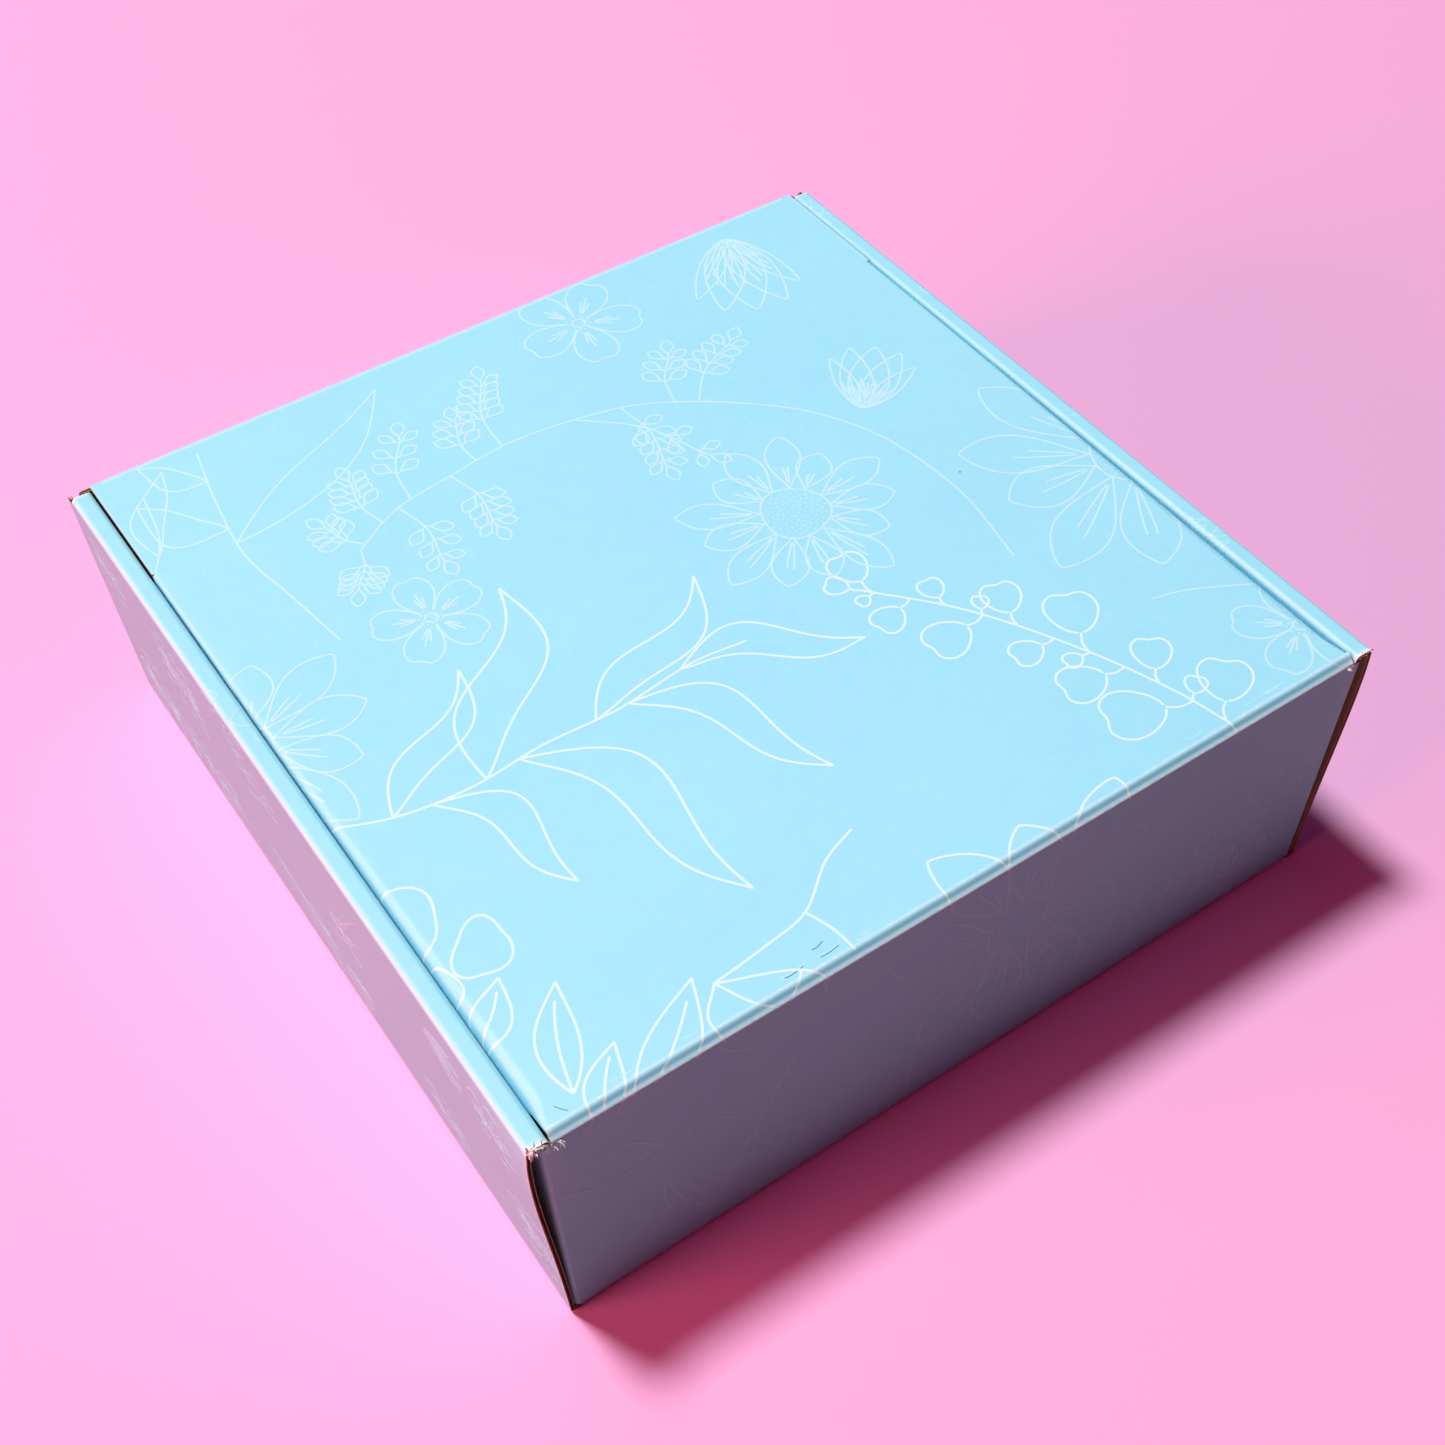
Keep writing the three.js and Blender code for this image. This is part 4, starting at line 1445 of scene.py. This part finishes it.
# Curled flakes of torn paper: each runs from its root along a direction and curls over by a
# quarter turn, a thin closed strip that narrows to its tip
def flakeLayers(roots, ways, seedling, longest):
    layers = []
    t = np.linspace(0, 1, flake["steps"])[:, None]
    for root, way in zip(roots, ways):
        way = way / np.linalg.norm(way)
        lift = np.cross(way, seedling.normal(size=3))
        lift = lift / np.linalg.norm(lift)
        across = np.cross(way, lift)
        length = longest * seedling.uniform(flake["shortest"], 1.0)
        curl = seedling.uniform(*flake["curl"])
        line = root + length * (np.sin(1.5 * t) * way + curl * (1 - np.cos(1.9 * t)) * lift)
        half = seedling.uniform(*flake["half"]) * (1 - 0.8 * t ** 2)
        if not clearOfHinge(line):
            continue
        rows = [line + a * half * across + b * flake["thin"] * lift for a, b in flake["corners"]]
        layers.append(closedStrip(rows))
    return layers


torn = {
    "right": {"count": 110, "longest": 2.4, "seed": 5, "reach": 6.6},  # the more worn corner
    "left": {"count": 34, "longest": 1.5, "seed": 8, "reach": 5.0},
}


# Fibres stand out where the rolled tops end at the hinge corners: the roots lie thickest on the
# corner of the rolled top and thin out inwards along the hinge and down the cut edge
def buildTornCorners():
    for (word, settings), side in zip(torn.items(), (1, -1)):
        seedling = np.random.default_rng(settings["seed"])
        count = settings["count"]
        share = seedling.uniform(0, 1, count)
        low, inner = share > 0.85, share < 0.35
        outer = innerTopX + 6.6
        spread = seedling.uniform(0, 1, count)
        away = np.where(low, 0.3, np.where(inner, 7.0 + 3.5 * spread, settings["reach"] * spread))
        down = np.where(low, 3.0 * spread, np.where(inner, 3.0 + 0.8 * spread, 0.3 + 1.3 * spread))
        roots = np.stack([
            side * (outer - away), halfDepth - 0.1 - seedling.uniform(0, 0.5, count), boxTop - down,
        ], -1)
        ways = np.stack([
            side * seedling.normal(-0.9, 0.5, count), seedling.uniform(0.2, 1.0, count),
            seedling.normal(0.1, 0.45, count),
        ], -1)
        piece = makePiece(f"tornFibres{word.capitalize()}",
                          flakeLayers(roots, ways, seedling, settings["longest"]), (tornPaper,))
        finishPiece(piece, "tray", "rolled_top_board")


scuffs = {
    "seed": 31,
    "scrapes": (((139.2, 143.4), (137.9, 145.3), (136.3, 147.0)),
                ((52.0, 141.6), (54.6, 142.4), (56.0, 142.2))),
    # short wrinkles along the hinge, painted as highlight lines
    "count": 9,  # short wrinkles along the hinge
    "span": (-130, 120),
    "length": (3, 9),
    # deeper wrinkles: a painted highlight line with a line of painted shade beside it
    "back": (0.6, 2.6),  # in from the hinge
    "pairX": (48.0, 60.0),  # deeper wrinkles, each with a dark line beside it
    "pairY": 144.6,
    "darkWidth": 0.24,
    "lightWidth": 0.3,
}


# Small marks on the lid: a dark scrape by the worn corner, and short wrinkles along the hinge drawn as
# painted highlights, the deeper ones with a line of painted shade beside them
def buildScuffs():
    seedling = np.random.default_rng(scuffs["seed"])
    dark = [through(line) for line in scuffs["scrapes"]]
    light = []
    for x in seedling.uniform(*scuffs["span"], scuffs["count"]):
        reach = seedling.uniform(*scuffs["length"])
        y = foldBack - seedling.uniform(*scuffs["back"])
        light.append(through([(x, y), (x + reach / 2, y + 0.2), (x + reach, y - 0.1)]))
    y = scuffs["pairY"]
    for x in scuffs["pairX"]:
        light.append(through([(x, y), (x + 4, y + 0.6), (x + 9, y + 0.3)]))
        dark.append(through([(x + 1, y + 0.6), (x + 5, y + 1.1), (x + 8, y + 0.9)]))
    # dark lines: real scrapes and the painted shade of wrinkles; light lines: painted highlights of wrinkles
    for name, lines, material, width in (("lidScuffsAndWrinkleShade", dark, scuffAndWrinkleShadePaper, scuffs["darkWidth"]),
                                         ("lidWrinkleHighlights", light, paleInkAndHighlight, scuffs["lightWidth"])):
        lines = [line[:: ink["keepEach"]] for line in lines]
        finishPiece(inkPiece(name, lines, placeLidPrint, material, width), "lid", "lid_board")


print("torn corners and scuffs")
buildTornCorners()
buildScuffs()


studio = {
    "floor": (255, 178, 222),
    "floorBounce": (186, 132, 150),  # what it sends on to the object
    "floorReach": 12.0,
    "floorDrop": 0.0002,
    "keyToward": (0.17, -0.30, 1.0),
    "keyDistance": 6.0,
    "keySize": 1.03,
    "keyPower": 356.0,
    "keyColour": (0.82, 1.0, 1.0),
    "aim": (0.0, 0.0, 0.05),
    "fillPlace": (2.2, -0.2, 0.5),
    "fillSize": 1.4,
    "fillPower": 63.0,
    "fillColour": (1.0, 0.235, 0.31),
    "world": (1.0, 0.12, 0.5),
    "worldStrength": 0.075,
}


# A round soft light that faces the aim
def addArea(name, place, size, power, colour):
    light = bpy.data.lights.new(name, "AREA")
    light.shape, light.size, light.energy, light.color = "DISK", size, power, colour
    lamp = bpy.data.objects.new(name, light)
    bpy.context.scene.collection.objects.link(lamp)
    lamp.location = place
    back = np.array(place) - np.array(studio["aim"])
    lamp.rotation_euler = Vector(back).to_track_quat("Z", "Y").to_euler()


# Floor, two soft lights and a dim even world. The floor sends on less light than it shows.
def buildStudio():
    mesh = bpy.data.meshes.new("studioFloor")
    reach, low = studio["floorReach"], -studio["floorDrop"]
    mesh.from_pydata([(-reach, -reach, low), (reach, -reach, low), (reach, reach, low),
                      (-reach, reach, low)], [], [(0, 1, 2, 3)])
    floor = bpy.data.objects.new("studioFloor", mesh)
    bpy.context.scene.collection.objects.link(floor)
    material = bpy.data.materials.new("paleFloor")
    material.use_nodes = True
    shader = material.node_tree.nodes["Principled BSDF"]
    rays = addNode(material.node_tree, "ShaderNodeLightPath")
    seen = mixColour(material.node_tree, rays.outputs["Is Camera Ray"],
                     linear(*studio["floorBounce"]), linear(*studio["floor"]))
    material.node_tree.links.new(seen, shader.inputs["Base Color"])
    shader.inputs["Roughness"].default_value = 0.9
    shader.inputs["Specular IOR Level"].default_value = 0.1
    mesh.materials.append(material)
    toward = np.array(studio["keyToward"]) / np.linalg.norm(studio["keyToward"])
    addArea("keyLight", toward * studio["keyDistance"], studio["keySize"], studio["keyPower"],
            studio["keyColour"])
    addArea("fillLight", studio["fillPlace"], studio["fillSize"], studio["fillPower"],
            studio["fillColour"])
    world = bpy.data.worlds.new("studioAir")
    world.use_nodes = True
    background = world.node_tree.nodes["Background"]
    background.inputs["Color"].default_value = (*studio["world"], 1.0)
    background.inputs["Strength"].default_value = studio["worldStrength"]
    bpy.context.scene.world = world


camera = {
    "place": (0.247114, 0.385335, 0.555687),
    "right": (-0.82426928, 0.56611173, -0.00988279),
    "down": (0.43466059, 0.62149569, -0.65177701),
    "lens": 49.716,
    "sensor": 36.0,
}


# The camera from its place and its own right and down directions
def buildCamera():
    data = bpy.data.cameras.new("camera")
    data.lens, data.sensor_width, data.sensor_fit = camera["lens"], camera["sensor"], "HORIZONTAL"
    data.clip_start = 0.01
    right, up = np.array(camera["right"]), -np.array(camera["down"])
    axes = np.stack([right, up, np.cross(right, up)], -1)
    turn = Matrix([[*axes[i], camera["place"][i]] for i in range(3)] + [[0, 0, 0, 1]])
    eye = bpy.data.objects.new("camera", data)
    bpy.context.scene.collection.objects.link(eye)
    eye.matrix_world = turn
    bpy.context.scene.camera = eye
    bpy.context.scene.view_settings.view_transform = "Standard"


print("studio")
buildStudio()
buildCamera()
